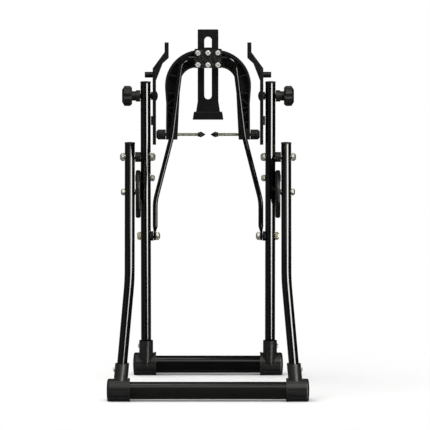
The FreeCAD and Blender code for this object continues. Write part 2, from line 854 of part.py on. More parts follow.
def make_disc(word, side, groups):
    back = upright_outer_x * side
    face = disc_face_x * side
    edge = S.disc_edge_radius
    rim = S.disc_radius - edge
    profile = [
        (back, ZERO),
        (back, rim, (back + edge * side, rim, edge)),
        (back + edge * side, S.disc_radius),
        (face - edge * side, S.disc_radius, (face - edge * side, rim, edge)),
        (face, rim),
        (face, ZERO),
    ]
    body = turned(f"{word}_fold_disc", profile)
    half = S.guide_bolt_radius + S.slide_gap
    middle = (back + face) / 2
    through = S.disc_thickness + S.overrun * 2
    open_angle = -S.lean
    closed_angle = S.fold_travel - S.lean
    centre = (ZERO, S.disc_drop)
    open_end = round_pivot(open_angle, S.guide_reach)
    closed_end = round_pivot(closed_angle, S.guide_reach)
    outer = S.guide_reach + half
    inner = S.guide_reach - half
    open_apex = (open_end[0] - half * cosine(open_angle), open_end[1] - half * sine(open_angle))
    closed_apex = (closed_end[0] + half * cosine(closed_angle), closed_end[1] + half * sine(closed_angle))
    slot = [
        round_pivot(open_angle, outer) + ((*centre, outer),),
        round_pivot(closed_angle, outer) + ((*closed_end, half),),
        closed_apex + ((*closed_end, half),),
        round_pivot(closed_angle, inner) + ((*centre, inner),),
        round_pivot(open_angle, inner) + ((*open_end, half),),
        open_apex + ((*open_end, half),),
    ]
    sketch = new_sketch(body, "YZ_Plane", middle)
    draw_chain(sketch, slot)
    pocket(body, sketch, through)
    bolt_y, bolt_z = round_pivot(S.lean, S.disc_bolt_drop)
    hole(body, "YZ_Plane", bolt_y, bolt_z, S.disc_bolt_radius, middle, through)
    recess = S.disc_head_recess
    hole(body, "YZ_Plane", bolt_y, bolt_z, S.disc_head_radius + S.slide_gap, face, recess + recess)
    keep(f"{word}_fold_disc", place(body, UPRIGHT_LEVEL, shift(ZERO, ZERO, -S.disc_drop)))

    seat = disc_face_x - recess
    nut_depth = S.disc_nut_height * 2 / 3
    head_end = seat + S.disc_head_height
    shank_end = upright_inner_x - nut_depth
    crown = S.disc_head_radius / 5
    profile = [
        (shank_end * side, ZERO),
        (shank_end * side, S.disc_bolt_radius),
        (seat * side, S.disc_bolt_radius),
        (seat * side, S.disc_head_radius),
        ((head_end - crown) * side, S.disc_head_radius),
        (head_end * side, S.disc_head_radius - crown),
        (head_end * side, ZERO),
    ]
    bolt = turned(f"{word}_disc_bolt", profile)
    level = shift(ZERO, ZERO, -S.disc_bolt_drop)
    groups["disc_bolts"].append(place(bolt, REAR, level))
    nut = domed_nut(
        f"{word}_disc_nut", side, upright_inner_x, -1, S.disc_nut_flats, S.disc_nut_corner_radius,
        S.disc_bolt_radius, S.disc_nut_height, S.disc_bolt_radius, nut_depth)
    groups["disc_nuts"].append(place(nut, REAR, level))

    washer_end = disc_face_x + S.slide_gap
    guide_end = upright_outer_x + S.overrun
    guide = headed_bolt(
        f"{word}_guide_bolt", side, leg_outer_x, 1, S.disc_nut_flats, S.disc_nut_corner_radius,
        S.guide_bolt_radius, S.guide_head_height, S.guide_bolt_radius, leg_outer_x - guide_end)
    level = shift(ZERO, ZERO, -S.guide_reach)
    groups["guide_bolts"].append(place(guide, FRONT, level))
    washer = ring(
        f"{word}_guide_washer", side, washer_end, leg_inner_x, S.guide_bolt_radius, S.guide_washer_radius)
    groups["guide_washers"].append(place(washer, FRONT, level))


# Caliper arm pivot

tab_outer_x = S.arm_tab_x + S.arm_tab_thickness / 2
tab_inner_x = S.arm_tab_x - S.arm_tab_thickness / 2


def make_arm_pivot(word, side, groups):
    level = shift(ZERO, ZERO, -S.arm_drop)
    seat = tab_inner_x - S.slide_gap
    length = upright_outer_x + S.locknut_height - seat
    bolt = headed_bolt(
        f"{word}_arm_bolt", side, seat, -1, S.pivot_nut_flats, S.pivot_nut_corner_radius,
        S.pivot_nut_tip_radius, S.arm_head_height, S.arm_bolt_radius, length)
    groups["arm_bolts"].append(place(bolt, REAR, level))
    washer = ring(
        f"{word}_arm_washer", side, tab_outer_x + S.slide_gap, upright_inner_x, S.arm_bolt_radius,
        S.arm_washer_radius)
    groups["arm_washers"].append(place(washer, REAR, level))
    top = upright_outer_x + S.locknut_height
    shoulder = top - S.locknut_collar_height
    collar = S.pivot_nut_flats / 2 - S.arm_bolt_radius / 5
    profile = [
        (upright_outer_x * side, S.arm_bolt_radius),
        (upright_outer_x * side, S.pivot_nut_corner_radius),
        (shoulder * side, S.pivot_nut_corner_radius),
        (shoulder * side, collar),
        (top * side, collar - S.arm_bolt_radius / 5),
        (top * side, S.arm_bolt_radius),
    ]
    locknut = turned(f"{word}_arm_locknut", profile)
    cut_hexagon(
        locknut, S.pivot_nut_flats, S.pivot_nut_corner_radius, upright_outer_x * side, shoulder * side)
    groups["arm_locknuts"].append(place(locknut, REAR, level))


# Arm rod: one bar bent into a tall U, flattened into an eye at each end

def make_arm_rod():
    low_x = S.arm_tab_x - S.overrun / 2
    middle_x = low_x - S.rod_middle_length * sine(S.rod_low_lean)
    middle = S.rod_low_bend_height + S.rod_middle_length * cosine(S.rod_low_lean)
    top_x = middle_x - (S.rod_top_height - middle) * tangent(S.rod_high_lean)
    low_cut = S.rod_low_bend_radius * tangent(S.rod_low_lean / 2)
    middle_cut = S.rod_middle_bend_radius * tangent((S.rod_low_lean - S.rod_high_lean) / 2)
    corner_turn = QUARTER - S.rod_high_lean
    corner_cut = S.rod_corner_radius * tangent(corner_turn / 2)
    low_start = S.rod_low_bend_height - low_cut
    low_end_x = low_x - low_cut * sine(S.rod_low_lean)
    low_end = S.rod_low_bend_height + low_cut * cosine(S.rod_low_lean)
    middle_start_x = middle_x + middle_cut * sine(S.rod_low_lean)
    middle_start = middle - middle_cut * cosine(S.rod_low_lean)
    middle_end_x = middle_x - middle_cut * sine(S.rod_high_lean)
    middle_end = middle + middle_cut * cosine(S.rod_high_lean)
    middle_centre_x = middle_end_x + S.rod_middle_bend_radius * cosine(S.rod_high_lean)
    middle_centre = middle_end + S.rod_middle_bend_radius * sine(S.rod_high_lean)
    corner_start_x = top_x + corner_cut * sine(S.rod_high_lean)
    corner_start = S.rod_top_height - corner_cut * cosine(S.rod_high_lean)
    corner_end_x = top_x - corner_cut
    corner_centre = S.rod_top_height - S.rod_corner_radius
    low_centre_x = low_x - S.rod_low_bend_radius
    half = [
        (-low_x, S.arm_tab_height),
        (-low_x, low_start, (-low_centre_x, low_start, S.rod_low_bend_radius)),
        (-low_end_x, low_end),
        (-middle_start_x, middle_start, (-middle_centre_x, middle_centre, S.rod_middle_bend_radius)),
        (-middle_end_x, middle_end),
        (-corner_start_x, corner_start, (-corner_end_x, corner_centre, S.rod_corner_radius)),
        (-corner_end_x, S.rod_top_height),
    ]
    body = new_body("arm_rod")
    path = new_sketch(body, "XZ_Plane")
    draw_chain(path, both_sides(half), closed=False)
    section = new_sketch(body, "XY_Plane", S.arm_tab_height)
    draw_circle(section, -low_x, ZERO, S.rod_radius)
    document.recompute()
    pipe(body, section, path)
    for side in (LEFT, RIGHT):
        flat = new_sketch(body, "XY_Plane", S.arm_tab_radius)
        draw_ellipse(flat, S.arm_tab_x * side, ZERO, S.arm_tab_thickness / 2, S.arm_tab_radius)
        round_end = new_sketch(body, "XY_Plane", S.arm_tab_height)
        draw_circle(round_end, low_x * side, ZERO, S.rod_radius)
        document.recompute()
        blend(body, "Additive", flat, round_end)
        eye = new_sketch(body, "YZ_Plane", S.arm_tab_x * side)
        crest = (ZERO, ZERO, S.arm_tab_radius)
        eye_points = [
            (-S.arm_tab_radius, ZERO, crest),
            (ZERO, -S.arm_tab_radius, crest),
            (S.arm_tab_radius, ZERO),
            (S.arm_tab_radius, S.arm_tab_radius),
            (-S.arm_tab_radius, S.arm_tab_radius),
        ]
        draw_chain(eye, eye_points)
        pad(body, eye, S.arm_tab_thickness)
        bore = S.arm_bolt_radius + S.running_gap
        across = S.arm_tab_thickness + S.overrun * 2
        hole(body, "YZ_Plane", ZERO, ZERO, bore, S.arm_tab_x * side, across)
    keep("arm_rod", place(body, ARM))


# Caliper arch, moulded, with a rim and ribs round a recessed front

arch_front = S.rod_radius
arch_back = arch_front + S.arch_depth
arch_middle = arch_front + S.arch_depth / 2
arch_centre = arch_top - S.arch_outer_radius
arch_inner_centre = arch_inner_top - S.arch_inner_radius
arch_leg_inner = (
    S.arch_inner_flat + S.arch_inner_radius * cosine(S.arch_inner_angle)
    + (arch_inner_centre + S.arch_inner_radius * sine(S.arch_inner_angle) - arch_bottom)
    * tangent(S.arch_inner_angle))
clamp_joint = -S.rod_radius / 8


def make_arch():
    outer_reach = S.arch_outer_radius * cosine(S.arch_shoulder_angle)
    outer_fall = S.arch_outer_radius * sine(S.arch_shoulder_angle)
    inner_reach = S.arch_inner_radius * cosine(S.arch_inner_angle)
    inner_rise = S.arch_inner_radius * sine(S.arch_inner_angle)
    half = [
        (-S.arch_flat, arch_top, (-S.arch_flat, arch_centre, S.arch_outer_radius)),
        (-S.arch_flat - outer_reach, arch_centre - outer_fall),
        (-S.arch_waist, arch_waist_height),
        (-S.arch_leg_outer, arch_bottom),
        (-arch_leg_inner, arch_bottom),
        (-S.arch_inner_flat - inner_reach, arch_inner_centre + inner_rise,
         (-S.arch_inner_flat, arch_inner_centre, S.arch_inner_radius)),
        (-S.arch_inner_flat, arch_inner_top),
    ]
    body = new_body("arch_shell")
    sketch = new_sketch(body, "XZ_Plane", -arch_middle)
    draw_chain(sketch, both_sides(half))
    pad(body, sketch, S.arch_depth)
    for side in (LEFT, RIGHT):
        cut_arch_recess(body, side)
    make_clamp_pad(body)
    bore_reach = (S.arch_leg_outer + S.overrun) * 2
    bore = S.feeler_rod_radius + S.running_gap
    hole(body, "YZ_Plane", arch_middle, feeler_height, bore, ZERO, bore_reach)
    groove_reach = (S.arch_pad_half_width + S.overrun) * 2
    hole(body, "YZ_Plane", ZERO, S.rod_top_height, S.rod_radius, ZERO, groove_reach)
    cut_arch_screw_holes(body)
    ribs = make_arch_ribs()
    arch = document.addObject("Part::MultiFuse", "caliper_arch")
    arch.Shapes = [body, *ribs]
    arch.Refine = True
    document.recompute()
    keep("caliper_arch", place(arch, ARM))


def cut_arch_recess(body, side):
    """Leaves the rim, the solid foot that holds the feeler and the pad behind the clamp."""
    rim = S.arch_rim
    outer = S.arch_outer_radius - rim
    inner = S.arch_inner_radius + rim
    floor = arch_bottom + S.arch_foot_height
    pad_edge = S.arch_pad_half_width
    outer_run = pad_edge - S.arch_flat
    inner_run = pad_edge - S.arch_inner_flat
    outer_top = arch_centre + root(outer * outer - outer_run * outer_run)
    inner_top = arch_inner_centre + root(inner * inner - inner_run * inner_run)
    leg_inner = arch_leg_inner - S.arch_foot_height * tangent(S.arch_inner_angle) + rim
    outer_centre = (-S.arch_flat * side * LEFT, arch_centre, outer)
    inner_centre = (-S.arch_inner_flat * side * LEFT, arch_inner_centre, inner)
    sketch = new_sketch(body, "XZ_Plane", -arch_front)
    slope = S.arch_inner_angle
    shoulder = S.arch_shoulder_angle
    points = [
        (pad_edge * side, outer_top, outer_centre),
        ((S.arch_flat + outer * cosine(shoulder)) * side, arch_centre - outer * sine(shoulder)),
        ((S.arch_waist - rim) * side, arch_waist_height),
        ((S.arch_leg_outer - rim) * side, floor),
        (leg_inner * side, floor),
        ((S.arch_inner_flat + inner * cosine(slope)) * side, arch_inner_centre + inner * sine(slope),
         inner_centre),
        (pad_edge * side, inner_top),
    ]
    draw_chain(sketch, points)
    pocket(body, sketch, S.arch_recess * 2)


def make_clamp_pad(body):
    """The raised pad that the rod lies in and the screws bite into, up to the joint with the clamp plate."""
    sketch = new_sketch(body, "XZ_Plane", -(arch_back + clamp_joint) / 2)
    low = clamp_middle - S.clamp_half_height
    high = arch_top + S.arch_pad_rise
    outline = rounded_rectangle(-S.clamp_half_width, S.clamp_half_width, low, high, S.clamp_corner_radius)
    draw_chain(sketch, outline)
    pad(body, sketch, arch_back - clamp_joint)


def screw_places():
    """Screw centres (x, z): two rows of three."""
    rows = (clamp_middle - S.screw_spacing_z / 2, clamp_middle + S.screw_spacing_z / 2)
    return [(S.screw_spacing_x * step, height) for height in rows for step in (-1, 0, 1)]


def cut_arch_screw_holes(body):
    sketch = new_sketch(body, "XZ_Plane", -arch_middle)
    for x, z in screw_places():
        draw_circle(sketch, x, z, S.screw_radius)
    pocket(body, sketch, S.arch_depth * 2)


def make_arch_ribs():
    """Straight ribs across the recess: level and diagonal down the legs, radial round the bends."""
    leg_rise_shares = (0.16, 0.5, 0.84)
    diagonal_rise_shares = (0.33, 0.67)
    diagonal = S.arch_diagonal_angle
    radial_angles = [S.arch_radial_angle + S.arch_radial_angle_step * step for step in range(3)]
    floor = arch_bottom + S.arch_foot_height
    rise = arch_centre - floor
    leg_middle = (S.arch_leg_outer + arch_leg_inner) / 2 - S.arch_rim / 3
    leg_half = (S.arch_leg_outer - arch_leg_inner) / 2
    length = leg_half * 2 - S.arch_rim
    ring_middle = (S.arch_outer_radius + S.arch_inner_radius) / 2
    ring_width = S.arch_outer_radius - S.arch_inner_radius - S.arch_rim
    ring_flat = (S.arch_flat + S.arch_inner_flat) / 2
    ring_centre = (arch_centre + arch_inner_centre) / 2
    depth = S.arch_recess - S.arch_rib_setback + S.overrun
    start = arch_front + S.arch_rib_setback
    ribs = []
    for side in (LEFT, RIGHT):
        for share in leg_rise_shares:
            ribs.append((leg_middle * side, floor + rise * share, ZERO, length))
        for index, share in enumerate(diagonal_rise_shares):
            turn = diagonal * (side if index % 2 else -side)
            ribs.append((leg_middle * side, floor + rise * share, turn, length / cosine(diagonal)))
        for angle in radial_angles:
            x = (ring_flat + ring_middle * cosine(angle)) * side
            z = ring_centre + ring_middle * sine(angle)
            narrowing = (S.arch_inner_flat - S.arch_flat) * cosine(angle)
            narrowing += (arch_inner_centre - arch_centre) * sine(angle)
            ribs.append((x, z, -angle * side, ring_width - narrowing))
    solids = []
    for x, z, turn, reach in ribs:
        rib = document.addObject("Part::Box", "Rib")
        rib.setExpression("Length", formula_of(reach))
        rib.setExpression("Width", formula_of(depth))
        rib.setExpression("Height", formula_of(S.arch_rib_thickness))
        centred = shift(-reach / 2, start, -S.arch_rib_thickness / 2)
        rib.setExpression("Placement", f"{shift(x, ZERO, z, 'Y', turn)} * {centred}")
        solids.append(rib)
    return solids


# Clamp plate, screws, rear strip and nuts

clamp_front = clamp_joint - S.clamp_thickness
indicator_front = arch_back + S.slide_gap
indicator_back = indicator_front + S.indicator_thickness
strip_front = indicator_back + S.slide_gap
strip_back = strip_front + S.strip_thickness


def make_clamp_plate():
    body = new_body("clamp_plate")
    sketch = new_sketch(body, "XZ_Plane", -(clamp_front + clamp_joint) / 2)
    low = clamp_middle - S.clamp_half_height
    high = clamp_middle + S.clamp_half_height
    outline = rounded_rectangle(-S.clamp_half_width, S.clamp_half_width, low, high, S.clamp_corner_radius)
    draw_chain(sketch, outline)
    for x, z in screw_places():
        draw_circle(sketch, x, z, S.screw_radius)
    pad(body, sketch, S.clamp_thickness)
    reach = (S.clamp_half_width + S.overrun) * 2
    hole(body, "YZ_Plane", ZERO, S.rod_top_height, S.rod_radius, ZERO, reach)
    keep("clamp_plate", place(body, ARM))


def make_rear_strip():
    body = new_body("rear_strip")
    sketch = new_sketch(body, "XZ_Plane", -(strip_front + strip_back) / 2)
    low = clamp_middle - S.clamp_half_height
    high = clamp_middle + S.clamp_half_height
    edge = S.slot_half_width * 2
    draw_chain(sketch, rounded_rectangle(-edge, edge, low, high, S.clamp_corner_radius))
    for x, z in screw_places():
        if not x.value:
            draw_circle(sketch, x, z, S.screw_radius)
    pad(body, sketch, S.strip_thickness)
    keep("rear_strip", place(body, ARM))


def make_clamp_screw(name, x, z, length):
    """A pan head screw with a cross recess, its head on the clamp plate and its shank towards +Y."""
    head = S.screw_head_height
    crown = head / 3
    profile = [
        (-length, ZERO),
        (-length, S.screw_radius),
        (ZERO, S.screw_radius),
        (ZERO, S.screw_head_radius),
        (head - crown, S.screw_head_radius),
        (head, S.screw_head_radius - crown),
        (head, ZERO),
    ]
    body = turned(name, profile)
    arm = S.screw_head_radius / 2
    half = S.screw_head_radius / 9
    sketch = new_sketch(body, "YZ_Plane", head)
    cross = [
        (-arm, -half), (-half, -half), (-half, -arm), (half, -arm), (half, -half), (arm, -half),
        (arm, half), (half, half), (half, arm), (-half, arm), (-half, half), (-arm, half),
    ]
    draw_chain(sketch, cross)
    pocket(body, sketch, head)
    return place(body, ARM, shift(x, clamp_front, z, "Z", -QUARTER))


def make_clamp_screws():
    short = []
    long = []
    nuts = []
    long_length = strip_back + S.strip_nut_height - clamp_front
    for index, (x, z) in enumerate(screw_places()):
        if x.value:
            short.append(make_clamp_screw(f"short_screw_{index}", x, z, S.short_screw_length))
        else:
            long.append(make_clamp_screw(f"long_screw_{index}", x, z, long_length))
            nut = ring(f"strip_nut_{index}", RIGHT, ZERO, S.strip_nut_height, S.screw_radius,
                       S.strip_nut_corner_radius)
            cut_hexagon(nut, S.strip_nut_flats, S.strip_nut_corner_radius, ZERO, S.strip_nut_height)
            nuts.append(place(nut, ARM, shift(x, strip_back, z, "Z", QUARTER)))
    keep_group("short_clamp_screws", short)
    keep_group("long_clamp_screws", long)
    keep_group("strip_nuts", nuts)


# Slotted radial indicator

def make_indicator():
    body = new_body("indicator_plate")
    corner = S.indicator_corner_radius
    edge = S.indicator_half_width
    half = [
        (-edge + corner, indicator_top, (-edge + corner, indicator_top - corner, corner)),
        (-edge, indicator_top - corner),
        (-edge, flare_top),
        (-S.flare_half_width, foot_top),
        (-S.foot_half_width, foot_bottom),
    ]
    middle = (indicator_front + indicator_back) / 2
    sketch = new_sketch(body, "XZ_Plane", -middle)
    draw_chain(sketch, both_sides(half))
    low = slot_bottom + S.slot_half_width
    high = slot_top - S.slot_half_width
    draw_chain(sketch, slot_points(ZERO, low, high, S.slot_half_width))
    pad(body, sketch, S.indicator_thickness)
    foot = new_sketch(body, "XZ_Plane", -middle)
    block = [
        (-S.foot_top_half_width, foot_top),
        (-S.foot_half_width, foot_bottom),
    ]
    draw_chain(foot, both_sides(block))
    pad(body, foot, S.foot_thickness)
    keep("indicator_plate", place(body, ARM))


# Screw feelers: a fluted knob on a threaded rod, with a pointed tip

def make_feeler(word, side):
    knob_start = S.arch_leg_outer + S.slide_gap
    knob_end = knob_start + S.feeler_knob_length
    chamfer = S.feeler_knob_chamfer
    tip_end = S.tip_half_gap + S.tip_length
    rod_inner_end = tip_end - S.tip_bore
    level = shift(ZERO, arch_middle, feeler_height)
    profile = [
        ((knob_start + S.feeler_knob_bore) * side, ZERO),
        ((knob_start + S.feeler_knob_bore) * side, S.feeler_rod_radius),
        (knob_start * side, S.feeler_rod_radius),
        (knob_start * side, S.feeler_knob_radius),
        ((knob_end - chamfer) * side, S.feeler_knob_radius),
        (knob_end * side, S.feeler_knob_radius - chamfer),
        (knob_end * side, ZERO),
    ]
    knob = turned(f"{word}_feeler_knob", profile)
    flute = hole(
        knob, "YZ_Plane", ZERO, S.feeler_knob_radius + S.flute_radius / 3, S.flute_radius,
        (knob_start + knob_end) / 2 * side, S.feeler_knob_length + S.overrun)
    polar_pattern(knob, flute, S.flute_count)
    keep(f"{word}_feeler_knob", place(knob, ARM, level))

    profile = [
        (rod_inner_end * side, ZERO),
        (rod_inner_end * side, S.feeler_rod_radius),
        ((knob_start + S.feeler_knob_bore) * side, S.feeler_rod_radius),
        ((knob_start + S.feeler_knob_bore) * side, ZERO),
    ]
    keep(f"{word}_feeler_rod", place(turned(f"{word}_feeler_rod", profile), ARM, level))

    bore = S.feeler_rod_radius + S.running_gap
    bore_floor = rod_inner_end - S.running_gap
    cone_foot = tip_end - S.tip_shank_length
    profile = [
        (S.tip_half_gap * side, ZERO),
        (S.tip_half_gap * side, S.tip_nose_radius),
        (cone_foot * side, S.tip_radius),
        ((cone_foot + S.tip_nose_radius) * side, S.tip_radius),
        ((cone_foot + S.tip_nose_radius * 2) * side, S.tip_shank_radius),
        (tip_end * side, S.tip_shank_radius),
        (tip_end * side, bore),
        (bore_floor * side, bore),
        (bore_floor * side, ZERO),
    ]
    keep(f"{word}_feeler_tip", place(turned(f"{word}_feeler_tip", profile), ARM, level))


# Dropout plates: a wide seat low down for rear hubs and a narrow seat at the tip for front hubs. The lower arm
# lies along the upright, and the head stands level above the clamp bolt.

dropout_outer_x = S.dropout_inner + S.dropout_thickness
tip_wall_outer = S.tip_wall_inner + S.tip_wall_thickness


def beside_upright(back, up):
    """A point given along the upright from the clamp bolt, as one in the level frame of the head."""
    return back * cosine(S.lean) - up * sine(S.lean), back * sine(S.lean) + up * cosine(S.lean)


def make_dropout(word, side):
    body = new_body(f"{word}_dropout_plate")
    half = S.dropout_half_width
    low = S.dropout_bottom + half - S.clamp_bolt_height
    low_round = (*beside_upright(ZERO, low), half)
    elbow = half * tangent(S.lean / 2)
    seat = S.rear_axle_radius
    seat_y = -S.rear_seat_setforward
    seat_round = (seat_y, S.rear_seat_over_bolt, seat)
    shoulder_top = dropout_shoulder + S.dropout_shoulder_rise
    wall = [
        beside_upright(-half, low),
        (-half, -elbow),
        (-half, dropout_shoulder),
        (-S.dropout_front_edge, shoulder_top),
        (-S.dropout_front_edge, dropout_step),
        (seat_y - seat, dropout_step),
        (seat_y - seat, S.rear_seat_over_bolt, seat_round),
        (seat_y, S.rear_seat_over_bolt - seat, seat_round),
        (seat_y + seat, S.rear_seat_over_bolt),
        (seat_y + seat, dropout_step),
        (S.dropout_rear_edge, dropout_step),
        (S.dropout_rear_edge, shoulder_top),
        (half, dropout_shoulder),
        (half, elbow),
        (*beside_upright(half, low), low_round),
        (*beside_upright(ZERO, low - half), low_round),
    ]
    wall_middle = (S.dropout_inner + dropout_outer_x) / 2 * side
    sketch = new_sketch(body, "YZ_Plane", wall_middle)
    draw_chain(sketch, wall)
    pad(body, sketch, S.dropout_thickness)
    bent = [
        (dropout_outer_x * side, gusset_foot),
        (dropout_outer_x * side, dropout_step),
        (tip_wall_outer * side, tip_wall_outer_foot),
        (tip_wall_outer * side, dropout_tip),
        (S.tip_wall_inner * side, dropout_tip),
        (S.tip_wall_inner * side, tip_wall_inner_foot),
        (S.gusset_knee * side, gusset_knee_height),
        (S.dropout_inner * side, gusset_foot),
    ]
    sketch = new_sketch(body, "XZ_Plane", -(S.dropout_fold_edge + S.dropout_rear_edge) / 2)
    draw_chain(sketch, bent)
    pad(body, sketch, S.dropout_rear_edge - S.dropout_fold_edge)
    seat = S.front_axle_radius
    seat_round = (S.front_seat_setback, front_seat_height, seat)
    mouth = dropout_tip + S.overrun
    notch = [
        (S.front_seat_setback - seat, mouth),
        (S.front_seat_setback - seat, front_seat_height, seat_round),
        (S.front_seat_setback, front_seat_height - seat, seat_round),
        (S.front_seat_setback + seat, front_seat_height),
        (S.front_seat_setback + seat, mouth),
    ]
    sketch = new_sketch(body, "YZ_Plane", (S.tip_wall_inner + tip_wall_outer) / 2 * side)
    draw_chain(sketch, notch)
    pocket(body, sketch, (S.tip_wall_thickness + S.overrun) * 2)
    through = S.dropout_thickness + S.overrun * 2
    hole(body, "YZ_Plane", ZERO, ZERO, S.clamp_bolt_radius, wall_middle, through)
    hole(body, "YZ_Plane", S.stop_pin_setback, stop_pin_height, S.rivet_radius, wall_middle, through)
    keep(f"{word}_dropout_plate", place(body, HEAD))

    rivet_end = S.dropout_inner - S.overrun
    pin_end = dropout_outer_x + S.stop_pin_length
    bevel = S.stop_pin_radius / 6
    profile = [
        (rivet_end * side, ZERO),
        (rivet_end * side, S.rivet_radius),
        (dropout_outer_x * side, S.rivet_radius),
        (dropout_outer_x * side, S.stop_pin_radius),
        ((pin_end - bevel) * side, S.stop_pin_radius),
        (pin_end * side, S.stop_pin_radius - bevel),
        (pin_end * side, ZERO),
    ]
    pin = turned(f"{word}_stop_pin", profile)
    keep(f"{word}_stop_pin", place(pin, HEAD, shift(ZERO, S.stop_pin_setback, stop_pin_height)))

    rest = new_body(f"{word}_dropout_pad")
    pad_end = upright_inner_x - S.slide_gap
    sketch = new_sketch(rest, "YZ_Plane", (dropout_outer_x + pad_end) / 2 * side)
    low = S.pad_height - S.pad_length / 2
    high = S.pad_height + S.pad_length / 2
    half = S.pad_width / 2
    draw_chain(sketch, rounded_rectangle(-half, half, low, high, half / 4))
    pad(rest, sketch, pad_end - dropout_outer_x)
    keep(f"{word}_dropout_pad", place(rest, REAR))


def make_dropout_clamp(word, side):
    """The clamp bolt through plate, washer and upright, and the lobed knob that tightens it."""
    level = shift(ZERO, ZERO, S.clamp_bolt_height)
    neck_start = upright_outer_x + S.slide_gap
    knob_start = upright_outer_x + S.knob_setout
    knob_end = knob_start + S.knob_length
    bore_end = neck_start + S.knob_bore_length
    bolt_end = bore_end - S.overrun
    head_end = S.dropout_inner - S.clamp_head_height
    dome = (S.clamp_head_radius * S.clamp_head_radius + S.clamp_head_height * S.clamp_head_height)
    dome_radius = dome / (S.clamp_head_height * 2)
    dome_centre = (head_end + dome_radius) * side
    profile = [
        (bolt_end * side, ZERO),
        (bolt_end * side, S.clamp_bolt_radius),
        (S.dropout_inner * side, S.clamp_bolt_radius),
        (S.dropout_inner * side, S.clamp_head_radius, (dome_centre, ZERO, dome_radius)),
        (head_end * side, ZERO),
    ]
    keep(f"{word}_clamp_bolt", place(turned(f"{word}_clamp_bolt", profile), REAR, level))
    washer = ring(
        f"{word}_clamp_washer", side, dropout_outer_x, upright_inner_x - S.slide_gap,
        S.clamp_bolt_radius, S.clamp_washer_radius)
    keep(f"{word}_clamp_washer", place(washer, REAR, level))

    bore = S.clamp_bolt_radius + S.running_gap
    bevel = S.knob_bevel
    neck_end = neck_start + S.knob_neck_length
    profile = [
        (neck_start * side, bore),
        (neck_start * side, S.knob_neck_radius),
        (neck_end * side, S.knob_neck_radius),
        (neck_end * side, S.knob_throat_radius),
        (knob_start * side, S.knob_throat_radius),
        (knob_start * side, S.knob_radius - bevel),
        ((knob_start + bevel) * side, S.knob_radius),
        ((knob_end - S.knob_face_bevel) * side, S.knob_radius),
        (knob_end * side, S.knob_radius - S.knob_face_drop),
        (knob_end * side, ZERO),
        (bore_end * side, ZERO),
        (bore_end * side, bore),
    ]
    knob = turned(f"{word}_clamp_knob", profile)
    lobe_cut = hole(
        knob, "YZ_Plane", ZERO, S.lobe_cut_reach, S.lobe_cut_radius,
        (knob_start + knob_end) / 2 * side, S.knob_length + S.overrun)
    polar_pattern(knob, lobe_cut, S.knob_lobes)
    keep(f"{word}_clamp_knob", place(knob, REAR, level))


# The whole stand

GROUPS = (
    "pivot_nuts", "pivot_spacers", "disc_bolts", "disc_nuts", "guide_bolts", "guide_washers",
    "arm_bolts", "arm_washers", "arm_locknuts", "upright_caps", "leg_caps", "rear_set_screws",
    "front_set_screws",
)
groups = {label: [] for label in GROUPS}
make_bar("rear_bar", S.upright_offset, REAR)
make_bar("front_bar", leg_foot_x, FRONT)
for word, side in SIDES.items():
    make_upright(f"{word}_upright", side)
    make_leg(f"{word}_leg", side)
    make_connector(f"{word}_rear_connector", side, S.upright_offset, S.lean, ZERO, REAR)
    make_connector(f"{word}_front_connector", side, leg_foot_x, -S.lean, S.splay_angle, FRONT)
    groups["rear_set_screws"].append(
        make_set_screw(f"{word}_rear_set_screw", side, S.upright_offset, ZERO, REAR))
    groups["front_set_screws"].append(
        make_set_screw(f"{word}_front_set_screw", side, leg_foot_x, S.splay_angle, FRONT))
    groups["upright_caps"].append(
        make_cap(f"{word}_upright_cap", S.upright_offset * side, S.upright_reach, S.lean, REAR))
    groups["leg_caps"].append(
        make_cap(f"{word}_leg_cap", S.leg_offset * side, S.leg_reach, -S.lean, FRONT))
    make_pivot(word, side, groups)
    make_disc(word, side, groups)
    make_arm_pivot(word, side, groups)
    make_feeler(word, side)
    make_dropout(word, side)
    make_dropout_clamp(word, side)
make_arm_rod()
make_arch()
make_clamp_plate()
make_rear_strip()
make_clamp_screws()
make_indicator()
for label, members in groups.items():
    keep_group(label, members)
document.recompute()

# Every object must be sound before anything is written

for item in document.Objects:
    if "Invalid" in item.State or "Error" in item.State:
        raise ValueError(f"{item.Label} failed: {item.State}")
for label, piece in pieces.items():
    shape = piece.Shape
    if shape.isNull() or not shape.isValid() or not shape.Solids:
        raise ValueError(f"{label} has no sound solid")

os.makedirs("parts", exist_ok=True)
for label, piece in pieces.items():
    piece.Shape.exportStep(f"parts/{label}.step")
print(len(pieces), "pieces written")
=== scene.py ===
import json
import math

import bmesh
import bpy
from mathutils import Euler, Matrix, Vector


